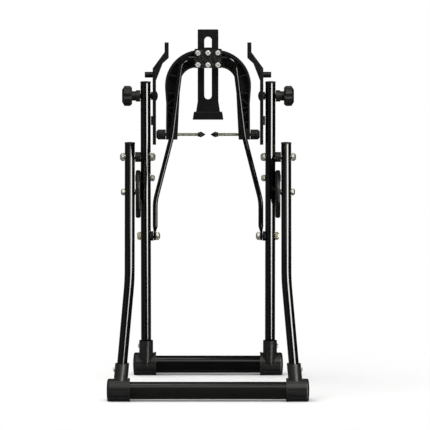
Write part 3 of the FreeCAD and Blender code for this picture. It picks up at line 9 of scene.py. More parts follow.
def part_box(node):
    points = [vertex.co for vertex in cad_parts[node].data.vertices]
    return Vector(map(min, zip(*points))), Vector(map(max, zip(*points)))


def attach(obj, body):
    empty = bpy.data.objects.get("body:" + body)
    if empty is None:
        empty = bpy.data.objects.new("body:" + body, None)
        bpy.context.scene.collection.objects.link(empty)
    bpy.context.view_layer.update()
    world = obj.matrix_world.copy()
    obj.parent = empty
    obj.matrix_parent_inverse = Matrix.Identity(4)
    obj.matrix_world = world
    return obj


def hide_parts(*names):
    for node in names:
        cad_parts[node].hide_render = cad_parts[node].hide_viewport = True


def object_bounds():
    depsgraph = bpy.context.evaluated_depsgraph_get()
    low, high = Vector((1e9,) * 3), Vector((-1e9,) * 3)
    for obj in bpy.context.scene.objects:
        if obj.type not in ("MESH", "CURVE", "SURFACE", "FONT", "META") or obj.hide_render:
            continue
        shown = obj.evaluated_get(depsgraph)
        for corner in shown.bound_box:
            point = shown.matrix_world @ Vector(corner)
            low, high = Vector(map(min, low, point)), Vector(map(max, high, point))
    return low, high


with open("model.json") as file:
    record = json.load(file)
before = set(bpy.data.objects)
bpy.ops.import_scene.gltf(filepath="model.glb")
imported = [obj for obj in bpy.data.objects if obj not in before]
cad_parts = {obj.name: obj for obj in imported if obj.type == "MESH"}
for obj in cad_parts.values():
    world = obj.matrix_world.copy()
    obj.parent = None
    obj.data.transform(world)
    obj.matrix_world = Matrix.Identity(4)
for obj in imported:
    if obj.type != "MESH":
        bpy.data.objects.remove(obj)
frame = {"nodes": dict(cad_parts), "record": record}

# Finish of a folding bicycle wheel truing stand, in metres, in the frame of its solids.
# Each solid with sharp corners is copied and its edges are rounded as pressing, moulding or machining leaves
# them. Threads, grooves and inserts are modelled here, and every surface gets its coat, plate or plastic.

bl_info = {
    "name": "Truing Stand Finish",
    "version": (1, 0, 0),
    "blender": (4, 5, 0),
    "location": "3D Viewport > Sidebar > Stand",
    "description": "Finishes the pieces of a wheel truing stand and sets up a plain studio",
    "category": "Object",
}

CAD_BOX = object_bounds()
MM = 0.001
RECORD = frame["record"]
BODY_OF = {node: body for body, nodes in RECORD["behaviour"]["bodies"].items() for node in nodes}
SIDES = {"left": -1, "right": 1}

# Points closer than WELD become one, and faces that bend less than FLAT_WITHIN become one. A corner sharper
# than CORNER_FROM is rounded; the facets of a curve meet at less. FLAT_WEIGHT keeps large faces flat.
WELD = 0.001 * MM
FLAT_WITHIN = math.radians(0.5)
CORNER_FROM = math.radians(32.0)
FLAT_WEIGHT = 80


# Colours and nodes

def linear(code):
    """An sRGB hex colour as linear red, green, blue and alpha."""
    channels = [int(code[index:index + 2], 16) / 255 for index in (1, 3, 5)]
    curve = [c / 12.92 if c <= 0.04045 else ((c + 0.055) / 1.055) ** 2.4 for c in channels]
    return (*curve, 1.0)


def add_node(tree, kind, settings=None, values=None, links=None):
    """Adds a shader node with its settings, its fixed inputs and the outputs that feed it."""
    node = tree.nodes.new(kind)
    for word, setting in (settings or {}).items():
        setattr(node, word, setting)
    for socket, value in (values or {}).items():
        node.inputs[socket].default_value = value
    for socket, output in (links or {}).items():
        tree.links.new(output, node.inputs[socket])
    return node


def per_metre(millimetres):
    """The scale of a pattern whose features are this far apart."""
    return 1.0 / (millimetres * MM)


def start_material(name):
    """An empty node material, its place coordinates in metres and its output."""
    material = bpy.data.materials.new(name)
    material.use_nodes = True
    tree = material.node_tree
    tree.nodes.clear()
    place = add_node(tree, "ShaderNodeTexCoord").outputs["Object"]
    output = add_node(tree, "ShaderNodeOutputMaterial")
    return material, tree, place, output


# Materials, each named for the real one

def gloss_powder_coat():
    """Gloss black polyester powder, baked on steel tube: a faint orange peel and rare dust nibs."""
    material, tree, place, output = start_material("gloss_powder_coat")
    paint = bpy.context.scene.stand_colours
    peel = add_node(tree, "ShaderNodeTexNoise", values={"Scale": per_metre(1.6), "Detail": 2.0},
                    links={"Vector": place})
    nibs = add_node(tree, "ShaderNodeTexVoronoi", values={"Scale": per_metre(22.0)}, links={"Vector": place})
    nib_height = add_node(tree, "ShaderNodeMapRange",
                          values={"From Min": 0.0, "From Max": 0.03, "To Min": 1.0, "To Max": 0.0},
                          links={"Value": nibs.outputs["Distance"]})
    haze = add_node(tree, "ShaderNodeTexNoise", values={"Scale": per_metre(45.0), "Detail": 3.0},
                    links={"Vector": place})
    colour = add_node(tree, "ShaderNodeMix", {"data_type": "RGBA"}, links={"Factor": haze.outputs["Fac"]})
    colour.inputs["A"].default_value = (*paint.tube_coat, 1.0)
    colour.inputs["B"].default_value = linear("#0e0e0f")
    rough = add_node(tree, "ShaderNodeMapRange", values={"To Min": 0.06, "To Max": 0.1},
                     links={"Value": haze.outputs["Fac"]})
    bump = add_node(tree, "ShaderNodeBump", values={"Strength": 0.01, "Distance": 0.05 * MM},
                    links={"Height": peel.outputs["Fac"]})
    nib_bump = add_node(tree, "ShaderNodeBump", values={"Strength": 0.06, "Distance": 0.05 * MM},
                        links={"Height": nib_height.outputs["Result"], "Normal": bump.outputs["Normal"]})
    coat = add_node(tree, "ShaderNodeBsdfPrincipled", values={"IOR": 1.5},
                    links={"Base Color": colour.outputs["Result"], "Roughness": rough.outputs["Result"],
                           "Normal": nib_bump.outputs["Normal"]})
    tree.links.new(coat.outputs["BSDF"], output.inputs["Surface"])
    return material


def satin_coat_painted_reflection():
    """Satin black powder on the front bar with a scattered, rubbed sheen, greyer than the gloss coat as a
    painted reflection of the pale floor in front.
    """
    material, tree, place, output = start_material("satin_coat_painted_reflection")
    rub = add_node(tree, "ShaderNodeTexNoise", values={"Scale": per_metre(12.0), "Detail": 4.0},
                   links={"Vector": place})
    peel = add_node(tree, "ShaderNodeTexNoise", values={"Scale": per_metre(1.2), "Detail": 2.0},
                    links={"Vector": place})
    colour = add_node(tree, "ShaderNodeMix", {"data_type": "RGBA"}, links={"Factor": rub.outputs["Fac"]})
    # Both colours are greyer than the rear bar's coat: a painted reflection of the pale floor in front of the
    # bar.
    colour.inputs["A"].default_value = linear("#141413")
    colour.inputs["B"].default_value = linear("#1a1a18")
    rough = add_node(tree, "ShaderNodeMapRange", values={"To Min": 0.16, "To Max": 0.24},
                     links={"Value": rub.outputs["Fac"]})
    bump = add_node(tree, "ShaderNodeBump", values={"Strength": 0.08, "Distance": 0.05 * MM},
                    links={"Height": peel.outputs["Fac"]})
    coat = add_node(tree, "ShaderNodeBsdfPrincipled", values={"IOR": 1.5},
                    links={"Base Color": colour.outputs["Result"], "Roughness": rough.outputs["Result"],
                           "Normal": bump.outputs["Normal"]})
    tree.links.new(coat.outputs["BSDF"], output.inputs["Surface"])
    return material


def nylon(name, dark, pale, smooth, dull):
    """Glass filled nylon, injection moulded in a spark eroded tool: a fine even grain and a cloudy flow."""
    material, tree, place, output = start_material(name)
    grain = add_node(tree, "ShaderNodeTexNoise", values={"Scale": per_metre(0.7), "Detail": 4.0},
                     links={"Vector": place})
    flow = add_node(tree, "ShaderNodeTexNoise", values={"Scale": per_metre(16.0), "Distortion": 1.2},
                    links={"Vector": place})
    colour = add_node(tree, "ShaderNodeMix", {"data_type": "RGBA"}, links={"Factor": flow.outputs["Fac"]})
    colour.inputs["A"].default_value = dark
    colour.inputs["B"].default_value = pale
    rough = add_node(tree, "ShaderNodeMapRange", values={"To Min": smooth, "To Max": dull},
                     links={"Value": flow.outputs["Fac"]})
    bump = add_node(tree, "ShaderNodeBump", values={"Strength": 0.2, "Distance": 0.05 * MM},
                    links={"Height": grain.outputs["Fac"]})
    plastic = add_node(tree, "ShaderNodeBsdfPrincipled", values={"IOR": 1.53},
                       links={"Base Color": colour.outputs["Result"], "Roughness": rough.outputs["Result"],
                              "Normal": bump.outputs["Normal"]})
    tree.links.new(plastic.outputs["BSDF"], output.inputs["Surface"])
    return material


def moulded_nylon():
    """Black nylon of the arch, discs, caps and feeler knobs: satin and nearly black."""
    paint = bpy.context.scene.stand_colours
    return nylon("moulded_nylon", (*paint.nylon, 1.0), linear("#1a1919"), 0.34, 0.46)


def grey_nylon():
    """The same nylon on the corner connectors, which stand on the bench: greyer and duller than the arch's.
    """
    return nylon("grey_nylon", linear("#1a1919"), linear("#232222"), 0.36, 0.48)


def textured_powder_coat():
    """Black sandtex powder on the clamp plate: coarse grains whose tops are painted pale grey as a glint, the
    same from every side.
    The real grains are half a millimetre apart and are drawn three times as coarse, to be seen."""
    material, tree, place, output = start_material("textured_powder_coat")
    grains = add_node(tree, "ShaderNodeTexVoronoi", values={"Scale": per_metre(1.7)}, links={"Vector": place})
    fine = add_node(tree, "ShaderNodeTexNoise", values={"Scale": per_metre(0.6), "Detail": 3.0},
                    links={"Vector": place})
    grain_and_painted_glint = add_node(tree, "ShaderNodeMapRange",
                   values={"From Min": 0.1, "From Max": 0.5, "To Min": 1.0, "To Max": 0.0},
                   links={"Value": grains.outputs["Distance"]})
    # The grain tops are painted pale grey as a painted glint; the same mask also raises the grains in the
    # bump.
    colour = add_node(tree, "ShaderNodeMix", {"data_type": "RGBA"}, links={"Factor": grain_and_painted_glint.outputs["Result"]})
    colour.inputs["A"].default_value = linear("#0f0f0f")
    colour.inputs["B"].default_value = linear("#4a4744")
    coarse_bump = add_node(tree, "ShaderNodeBump", values={"Strength": 0.8, "Distance": 0.18 * MM},
                           links={"Height": grain_and_painted_glint.outputs["Result"]})
    fine_bump = add_node(tree, "ShaderNodeBump", values={"Strength": 0.4, "Distance": 0.06 * MM},
                         links={"Height": fine.outputs["Fac"], "Normal": coarse_bump.outputs["Normal"]})
    coat = add_node(tree, "ShaderNodeBsdfPrincipled", values={"Roughness": 0.42, "IOR": 1.5},
                    links={"Base Color": colour.outputs["Result"], "Normal": fine_bump.outputs["Normal"]})
    tree.links.new(coat.outputs["BSDF"], output.inputs["Surface"])
    return material


def satin_e_coat():
    """Satin black electrocoat on pressed steel plate: thin, so the rolling grain shows through."""
    material, tree, place, output = start_material("satin_e_coat")
    paint = bpy.context.scene.stand_colours
    stretch = add_node(tree, "ShaderNodeMapping", values={"Scale": (1.0, 1.0, 0.08)}, links={"Vector": place})
    rolling = add_node(tree, "ShaderNodeTexNoise", values={"Scale": per_metre(0.8), "Detail": 3.0},
                       links={"Vector": stretch.outputs["Vector"]})
    mottle = add_node(tree, "ShaderNodeTexNoise", values={"Scale": per_metre(9.0), "Detail": 4.0},
                      links={"Vector": place})
    colour = add_node(tree, "ShaderNodeMix", {"data_type": "RGBA"}, links={"Factor": mottle.outputs["Fac"]})
    colour.inputs["A"].default_value = (*paint.plate_coat, 1.0)
    colour.inputs["B"].default_value = linear("#19191b")
    rough = add_node(tree, "ShaderNodeMapRange", values={"To Min": 0.28, "To Max": 0.42},
                     links={"Value": mottle.outputs["Fac"]})
    bump = add_node(tree, "ShaderNodeBump", values={"Strength": 0.18, "Distance": 0.04 * MM},
                    links={"Height": rolling.outputs["Fac"]})
    coat = add_node(tree, "ShaderNodeBsdfPrincipled", values={"IOR": 1.5},
                    links={"Base Color": colour.outputs["Result"], "Roughness": rough.outputs["Result"],
                           "Normal": bump.outputs["Normal"]})
    tree.links.new(coat.outputs["BSDF"], output.inputs["Surface"])
    return material


def worn_edge():
    """The same electrocoat on an edge: thinner, rubbed smoother, with a few specks of bare steel."""
    material, tree, place, output = start_material("worn_edge")
    rub = add_node(tree, "ShaderNodeTexNoise", values={"Scale": per_metre(2.2), "Detail": 5.0},
                   links={"Vector": place})
    bare = add_node(tree, "ShaderNodeMapRange",
                    values={"From Min": 0.62, "From Max": 0.7, "To Min": 0.0, "To Max": 1.0},
                    links={"Value": rub.outputs["Fac"]})
    colour = add_node(tree, "ShaderNodeMix", {"data_type": "RGBA"}, links={"Factor": bare.outputs["Result"]})
    colour.inputs["A"].default_value = linear("#1c1c1e")
    colour.inputs["B"].default_value = linear("#6c6c6e")
    coat = add_node(tree, "ShaderNodeBsdfPrincipled", values={"Roughness": 0.28, "IOR": 1.5},
                    links={"Base Color": colour.outputs["Result"], "Metallic": bare.outputs["Result"]})
    tree.links.new(coat.outputs["BSDF"], output.inputs["Surface"])
    return material


def bright_zinc():
    """Bright zinc plate on turned steel. The plating scatters as much light as it mirrors, so it stays pale
    from every side, with fine tool marks."""
    material, tree, place, output = start_material("bright_zinc")
    paint = bpy.context.scene.stand_colours
    stretch = add_node(tree, "ShaderNodeMapping", values={"Scale": (6.0, 1.0, 1.0)}, links={"Vector": place})
    marks = add_node(tree, "ShaderNodeTexNoise", values={"Scale": per_metre(1.5), "Detail": 2.0},
                     links={"Vector": stretch.outputs["Vector"]})
    cloud = add_node(tree, "ShaderNodeTexNoise", values={"Scale": per_metre(3.0), "Detail": 3.0},
                     links={"Vector": place})
    colour = add_node(tree, "ShaderNodeMix", {"data_type": "RGBA"}, links={"Factor": cloud.outputs["Fac"]})
    colour.inputs["A"].default_value = (*paint.zinc, 1.0)
    colour.inputs["B"].default_value = linear("#eceae4")
    rough = add_node(tree, "ShaderNodeMapRange", values={"To Min": 0.14, "To Max": 0.22},
                     links={"Value": cloud.outputs["Fac"]})
    bump = add_node(tree, "ShaderNodeBump", values={"Strength": 0.06, "Distance": 0.03 * MM},
                    links={"Height": marks.outputs["Fac"]})
    plate = add_node(tree, "ShaderNodeBsdfPrincipled", values={"Metallic": 0.45},
                     links={"Base Color": colour.outputs["Result"], "Roughness": rough.outputs["Result"],
                            "Normal": bump.outputs["Normal"]})
    tree.links.new(plate.outputs["BSDF"], output.inputs["Surface"])
    return material


def bright_nickel():
    """Bright nickel on the domed nuts and bolts: a warm mirror, so it takes the room's light and dark."""
    material, tree, place, output = start_material("bright_nickel")
    cloud = add_node(tree, "ShaderNodeTexNoise", values={"Scale": per_metre(5.0), "Detail": 2.0},
                     links={"Vector": place})
    colour = add_node(tree, "ShaderNodeMix", {"data_type": "RGBA"}, links={"Factor": cloud.outputs["Fac"]})
    colour.inputs["A"].default_value = linear("#efece3")
    colour.inputs["B"].default_value = linear("#dcd6c8")
    rough = add_node(tree, "ShaderNodeMapRange", values={"To Min": 0.12, "To Max": 0.2},
                     links={"Value": cloud.outputs["Fac"]})
    plate = add_node(tree, "ShaderNodeBsdfPrincipled", values={"Metallic": 0.8},
                     links={"Base Color": colour.outputs["Result"], "Roughness": rough.outputs["Result"]})
    tree.links.new(plate.outputs["BSDF"], output.inputs["Surface"])
    return material


def yellow_zinc():
    """Yellow chromated zinc on the locknuts, worn pale: warm silver that drifts to straw in clouds."""
    material, tree, place, output = start_material("yellow_zinc")
    cloud = add_node(tree, "ShaderNodeTexNoise", values={"Scale": per_metre(2.6), "Distortion": 0.8},
                     links={"Vector": place})
    ramp = add_node(tree, "ShaderNodeValToRGB", links={"Fac": cloud.outputs["Fac"]})
    ramp.color_ramp.elements[0].position = 0.32
    ramp.color_ramp.elements[0].color = linear("#b9b6a2")
    ramp.color_ramp.elements[1].position = 0.68
    ramp.color_ramp.elements[1].color = linear("#c4b79c")
    middle = ramp.color_ramp.elements.new(0.5)
    middle.color = linear("#c8c2a8")
    plate = add_node(tree, "ShaderNodeBsdfPrincipled", values={"Metallic": 0.55, "Roughness": 0.27},
                     links={"Base Color": ramp.outputs["Color"]})
    tree.links.new(plate.outputs["BSDF"], output.inputs["Surface"])
    return material


def plain_steel():
    """Plain rolled steel thread, lightly oiled: warm grey with clouds of brown film."""
    material, tree, place, output = start_material("plain_steel")
    film = add_node(tree, "ShaderNodeTexNoise", values={"Scale": per_metre(2.0), "Detail": 4.0},
                    links={"Vector": place})
    colour = add_node(tree, "ShaderNodeMix", {"data_type": "RGBA"}, links={"Factor": film.outputs["Fac"]})
    colour.inputs["A"].default_value = linear("#a5a593")
    colour.inputs["B"].default_value = linear("#7d7b69")
    rough = add_node(tree, "ShaderNodeMapRange", values={"To Min": 0.24, "To Max": 0.42},
                     links={"Value": film.outputs["Fac"]})
    steel = add_node(tree, "ShaderNodeBsdfPrincipled", values={"Metallic": 0.7},
                     links={"Base Color": colour.outputs["Result"], "Roughness": rough.outputs["Result"]})
    tree.links.new(steel.outputs["BSDF"], output.inputs["Surface"])
    return material


def black_oxide():
    """Black oxide on steel bolts: a thin blue black film, dull where oil has dried."""
    material, tree, place, output = start_material("black_oxide")
    oil = add_node(tree, "ShaderNodeTexNoise", values={"Scale": per_metre(3.5), "Detail": 4.0},
                   links={"Vector": place})
    colour = add_node(tree, "ShaderNodeMix", {"data_type": "RGBA"}, links={"Factor": oil.outputs["Fac"]})
    colour.inputs["A"].default_value = linear("#26272b")
    colour.inputs["B"].default_value = linear("#3b3b3f")
    rough = add_node(tree, "ShaderNodeMapRange", values={"To Min": 0.3, "To Max": 0.5},
                     links={"Value": oil.outputs["Fac"]})
    steel = add_node(tree, "ShaderNodeBsdfPrincipled", values={"Metallic": 0.85},
                     links={"Base Color": colour.outputs["Result"], "Roughness": rough.outputs["Result"]})
    tree.links.new(steel.outputs["BSDF"], output.inputs["Surface"])
    return material


def phenolic():
    """Black brown phenolic knob, compression moulded: a dull half gloss with a wood flour mottle."""
    material, tree, place, output = start_material("phenolic")
    paint = bpy.context.scene.stand_colours
    flour = add_node(tree, "ShaderNodeTexNoise", values={"Scale": per_metre(1.3), "Detail": 5.0},
                     links={"Vector": place})
    colour = add_node(tree, "ShaderNodeMix", {"data_type": "RGBA"}, links={"Factor": flour.outputs["Fac"]})
    colour.inputs["A"].default_value = (*paint.knob, 1.0)
    colour.inputs["B"].default_value = linear("#18130e")
    rough = add_node(tree, "ShaderNodeMapRange", values={"To Min": 0.4, "To Max": 0.52},
                     links={"Value": flour.outputs["Fac"]})
    bump = add_node(tree, "ShaderNodeBump", values={"Strength": 0.15, "Distance": 0.05 * MM},
                    links={"Height": flour.outputs["Fac"]})
    resin = add_node(tree, "ShaderNodeBsdfPrincipled", values={"IOR": 1.6},
                     links={"Base Color": colour.outputs["Result"], "Roughness": rough.outputs["Result"],
                            "Normal": bump.outputs["Normal"]})
    tree.links.new(resin.outputs["BSDF"], output.inputs["Surface"])
    return material


def black_rubber():
    """Moulded black rubber: dull, slightly dusty, with a soft sheen at grazing angles."""
    material, tree, place, output = start_material("black_rubber")
    dust = add_node(tree, "ShaderNodeTexNoise", values={"Scale": per_metre(2.4), "Detail": 5.0},
                    links={"Vector": place})
    colour = add_node(tree, "ShaderNodeMix", {"data_type": "RGBA"}, links={"Factor": dust.outputs["Fac"]})
    colour.inputs["A"].default_value = linear("#0f0f10")
    colour.inputs["B"].default_value = linear("#1d1d1e")
    bump = add_node(tree, "ShaderNodeBump", values={"Strength": 0.3, "Distance": 0.05 * MM},
                    links={"Height": dust.outputs["Fac"]})
    rubber = add_node(tree, "ShaderNodeBsdfPrincipled",
                      values={"Roughness": 0.72, "IOR": 1.52, "Sheen Weight": 0.08, "Sheen Roughness": 0.4},
                      links={"Base Color": colour.outputs["Result"], "Normal": bump.outputs["Normal"]})
    tree.links.new(rubber.outputs["BSDF"], output.inputs["Surface"])
    return material


def dipped_vinyl():
    """Black vinyl on the feeler tips, dipped and left glossy so that it slides on a spinning rim."""
    material, tree, place, output = start_material("dipped_vinyl")
    sag = add_node(tree, "ShaderNodeTexNoise", values={"Scale": per_metre(4.0), "Detail": 2.0},
                   links={"Vector": place})
    colour = add_node(tree, "ShaderNodeMix", {"data_type": "RGBA"}, links={"Factor": sag.outputs["Fac"]})
    colour.inputs["A"].default_value = linear("#080808")
    colour.inputs["B"].default_value = linear("#0f0f0f")
    rough = add_node(tree, "ShaderNodeMapRange", values={"To Min": 0.14, "To Max": 0.24},
                     links={"Value": sag.outputs["Fac"]})
    vinyl = add_node(tree, "ShaderNodeBsdfPrincipled", values={"IOR": 1.5},
                     links={"Base Color": colour.outputs["Result"], "Roughness": rough.outputs["Result"]})
    tree.links.new(vinyl.outputs["BSDF"], output.inputs["Surface"])
    return material


def natural_nylon():
    """Undyed nylon ring pressed into a locknut: milky, soft and slightly yellowed."""
    material, tree, place, output = start_material("natural_nylon")
    milk = add_node(tree, "ShaderNodeTexNoise", values={"Scale": per_metre(1.8), "Detail": 2.0},
                    links={"Vector": place})
    colour = add_node(tree, "ShaderNodeMix", {"data_type": "RGBA"}, links={"Factor": milk.outputs["Fac"]})
    colour.inputs["A"].default_value = linear("#d9d5c4")
    colour.inputs["B"].default_value = linear("#c9c3ae")
    plastic = add_node(tree, "ShaderNodeBsdfPrincipled", values={"Roughness": 0.38, "IOR": 1.53},
                       links={"Base Color": colour.outputs["Result"]})
    tree.links.new(plastic.outputs["BSDF"], output.inputs["Surface"])
    return material


MAKERS = {
    maker.__name__: maker
    for maker in (gloss_powder_coat, satin_coat_painted_reflection, moulded_nylon, grey_nylon, textured_powder_coat,
                  satin_e_coat, worn_edge, bright_zinc, bright_nickel, yellow_zinc, plain_steel, black_oxide,
                  phenolic, black_rubber, dipped_vinyl, natural_nylon)
}


def finish_material(name):
    """A material by its name, made when it is first asked for."""
    return bpy.data.materials.get(name) or MAKERS[name]()


# Shapes

def new_object(name, data):
    """An object in the scene for a mesh, a lamp or a camera."""
    item = bpy.data.objects.new(name, data)
    bpy.context.scene.collection.objects.link(item)
    return item


def new_piece(name, mesh, body, finish):
    """Names a new mesh, gives it its material and lets it move with its body."""
    piece = new_object(name, mesh)
    mesh.materials.clear()
    mesh.materials.append(finish_material(finish))
    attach(piece, body)
    return piece


def clean_copy(node):
    """A node's mesh as whole flat faces, ready for its edges to be rounded."""
    mesh = frame["nodes"][node].data.copy()
    solid = bmesh.new()
    solid.from_mesh(mesh)
    bmesh.ops.remove_doubles(solid, verts=solid.verts, dist=WELD)
    bmesh.ops.dissolve_limit(solid, angle_limit=FLAT_WITHIN, verts=solid.verts, edges=solid.edges)
    solid.to_mesh(mesh)
    solid.free()
    for word in ("custom_normal", "sharp_edge", "sharp_face"):
        if word in mesh.attributes:
            mesh.attributes.remove(mesh.attributes[word])
    return mesh


def round_edges(piece, width, segments, edge_index=-1):
    """Rounds every corner sharper than the facets of a curve, and keeps flat faces flat to the eye."""
    piece.data.shade_smooth()
    bevel = piece.modifiers.new("Rounded edges", "BEVEL")
    bevel.limit_method = "ANGLE"
    bevel.angle_limit = CORNER_FROM
    bevel.width = width
    bevel.segments = segments
    bevel.miter_outer = "MITER_ARC"
    if edge_index >= 0:
        bevel.material = edge_index
    normals = piece.modifiers.new("Even shading", "WEIGHTED_NORMAL")
    normals.keep_sharp = True
    normals.weight = FLAT_WEIGHT


def dress(node, finish, width, segments=2, edge=None, cutters=()):
    """A copy of a node's solid with rounded edges, which stands for the node."""
    piece = new_piece(f"{node}_finished", clean_copy(node), BODY_OF[node], finish)
    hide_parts(node)
    for cutter in cutters:
        cut(piece, cutter)
    if edge:
        piece.data.materials.append(finish_material(edge))
    round_edges(piece, width, segments, 1 if edge else -1)
    return piece


def cut(piece, cutter):
    """Takes a cutter's shape out of a piece, and clears the cutter away."""
    difference = piece.modifiers.new("Cut", "BOOLEAN")
    difference.operation = "DIFFERENCE"
    difference.solver = "EXACT"
    difference.object = cutter
    graph = bpy.context.evaluated_depsgraph_get()
    mesh = bpy.data.meshes.new_from_object(piece.evaluated_get(graph))
    piece.modifiers.remove(difference)
    piece.data = mesh
    bpy.data.objects.remove(cutter)


def coat_nodes(nodes, finish):
    """Gives solids that are right as they are their material."""
    for node in nodes:
        mesh = frame["nodes"][node].data
        mesh.materials.clear()
        mesh.materials.append(finish_material(finish))


def groove_cutter(name, centre, length, width, depth, turn):
    """A straight square cornered bar along X, turned about X, that cuts a groove."""
    mesh = bpy.data.meshes.new(name)
    solid = bmesh.new()
    bmesh.ops.create_cube(solid, size=1.0)
    bmesh.ops.scale(solid, vec=(length, depth, width), verts=solid.verts)
    bmesh.ops.rotate(solid, matrix=Matrix.Rotation(turn, 3, "X"), verts=solid.verts)
    bmesh.ops.translate(solid, vec=centre, verts=solid.verts)
    solid.to_mesh(mesh)
    solid.free()
    return new_object(name, mesh)


def turned_mesh(name, profile, centre, count):
    """A closed ring turned about an axis along X from a loop of points (x, radius)."""
    mesh = bpy.data.meshes.new(name)
    points = []
    faces = []
    rows = len(profile)
    for turn in range(count):
        angle = math.tau * turn / count
        for x, radius in profile:
            points.append((x, centre.y + radius * math.cos(angle), centre.z + radius * math.sin(angle)))
    for turn in range(count):
        here = turn * rows
        after = (turn + 1) % count * rows
        for row in range(rows):
            following = (row + 1) % rows
            faces.append((here + row, here + following, after + following, after + row))
    mesh.from_pydata(points, [], faces)
    solid = bmesh.new()
    solid.from_mesh(mesh)
    bmesh.ops.recalc_face_normals(solid, faces=solid.faces)
    solid.to_mesh(mesh)
    solid.free()
    mesh.shade_smooth()
    return mesh


def middle_of(node):
    """The middle of a node's box."""
    low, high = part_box(node)
    return (low + high) / 2


# Sizes and colours that a user would change

def length_property(name, description, millimetres):
    """A length setting, given in millimetres and kept in metres."""
    return bpy.props.FloatProperty(name=name, description=description, default=millimetres * MM, min=0.0,
                                   unit="LENGTH", precision=5)


def colour_property(name, description, code):
    """A colour setting, given as an sRGB hex colour and kept linear."""
    return bpy.props.FloatVectorProperty(name=name, description=description, default=linear(code)[:3], size=3,
                                         min=0.0, max=1.0, subtype="COLOR")


class StandColours(bpy.types.PropertyGroup):
    """Base colours of the finishes."""

    tube_coat: colour_property("Tube coat", "Gloss powder coat on the tubes", "#070708")
    plate_coat: colour_property("Plate coat", "Satin electrocoat on the pressed plates", "#0f0f10")
    nylon: colour_property("Nylon", "Moulded arch, discs, caps and feeler knobs", "#0e0e0f")
    knob: colour_property("Clamp knob", "Phenolic of the clamp knobs", "#0c0907")
    zinc: colour_property("Zinc plate", "Bright plate of the clamp and set screws", "#f6f7f7")


class StandEdges(bpy.types.PropertyGroup):
    """How far the sharp edges of each kind of piece are rounded, and the sizes of the modelled details."""

    moulded: length_property("Moulded edges", "Edge radius of the moulded pieces", 0.7)
    pressed: length_property("Pressed edges", "Edge radius of the pressed plates", 0.45)
    machined: length_property("Machined edges", "Edge radius of nuts, bolts and screws", 0.22)
    knob: length_property("Knob edges", "Edge radius of the clamp knobs", 0.9)
    groove_width: length_property("Groove width", "Width of the grooves in the connectors", 2.2)
    groove_depth: length_property("Groove depth", "Depth of the grooves in the connectors", 1.2)
    thread_pitch: length_property("Thread pitch", "Distance between the feelers' thread crests", 1.0)
    thread_depth: length_property("Thread depth", "Depth of the feelers' thread", 0.3)


class StandStage(bpy.types.PropertyGroup):
    """Camera, floor and light."""

    distance: bpy.props.FloatProperty(name="Camera distance", description="From the stand to the lens",
                                      default=24.0, min=1.0, unit="LENGTH")
    elevation: bpy.props.FloatProperty(name="Camera elevation", description="Angle above the horizon",
                                       default=math.radians(6.5), subtype="ANGLE")
    frame_width: bpy.props.FloatProperty(name="Frame width", description="Width that the picture covers",
                                         default=0.5418, min=0.1, unit="LENGTH")
    strip_level: bpy.props.FloatProperty(name="Card level", description="Brightness of the brightest cards",
                                         default=20.0, min=0.0)
    tent_level: bpy.props.FloatProperty(name="Tent level", description="Brightness of the dark surround",
                                        default=0.03, min=0.0)
    fill_level: bpy.props.FloatProperty(name="Fill level", description="Brightness of the room's even light",
                                        default=0.8, min=0.0)
    lamp_power: bpy.props.FloatProperty(name="Lamp power", description="Watts of the soft lamp overhead",
                                        default=12.0, min=0.0)
    floor_colour: colour_property("Floor", "Pale floor under the stand", "#efefec")


# Operators, one for each group of pieces

class STAND_OT_tubes(bpy.types.Operator):
    """Coat the bars, uprights, legs and the arm rod"""

    bl_idname = "stand.tubes"
    bl_label = "Tubes"

    def execute(self, context):
        nodes = ["rear_bar", "arm_rod"]
        nodes += [f"{side}_{part}" for side in SIDES for part in ("upright", "leg")]
        coat_nodes(nodes, "gloss_powder_coat")
        # The front bar's greyer coat paints the reflection of the floor in front of it.
        coat_nodes(["front_bar"], "satin_coat_painted_reflection")
        return {"FINISHED"}


class STAND_OT_connectors(bpy.types.Operator):
    """Mould the four corner connectors with their grooves, and fit their set screws"""

    bl_idname = "stand.connectors"
    bl_label = "Corner Connectors"

    # Degrees above the barrel's middle
    groove_angles = (11.8, -21.0)
    barrel_radius = 15.0 * MM
    groove_margin = 3.2 * MM

    def execute(self, context):
        edges = context.scene.stand_edges
        for frame_word in ("rear", "front"):
            axis = middle_of(f"{frame_word}_bar")
            for side in SIDES:
                node = f"{side}_{frame_word}_connector"
                low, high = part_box(node)
                length = high.x - low.x - 2 * self.groove_margin
                middle_x = (low.x + high.x) / 2
                cutters = []
                for face in (-1, 1):
                    for angle in self.groove_angles:
                        turn = math.radians(angle)
                        centre = Vector((middle_x, axis.y + face * self.barrel_radius * math.cos(turn),
                                         axis.z + self.barrel_radius * math.sin(turn)))
                        cutters.append(groove_cutter("groove", centre, length, edges.groove_width,
                                                     2 * edges.groove_depth, face * turn))
                dress(node, "grey_nylon", edges.moulded, 3, cutters=cutters)
            dress(f"{frame_word}_set_screws", "bright_zinc", edges.machined)
        return {"FINISHED"}


class STAND_OT_caps(bpy.types.Operator):
    """Finish the end caps and the spacers between the tubes"""

    bl_idname = "stand.caps"
    bl_label = "Caps and Spacers"

    def execute(self, context):
        edges = context.scene.stand_edges
        for node in ("upright_caps", "leg_caps", "pivot_spacers"):
            dress(node, "moulded_nylon", edges.machined, 3)
        return {"FINISHED"}


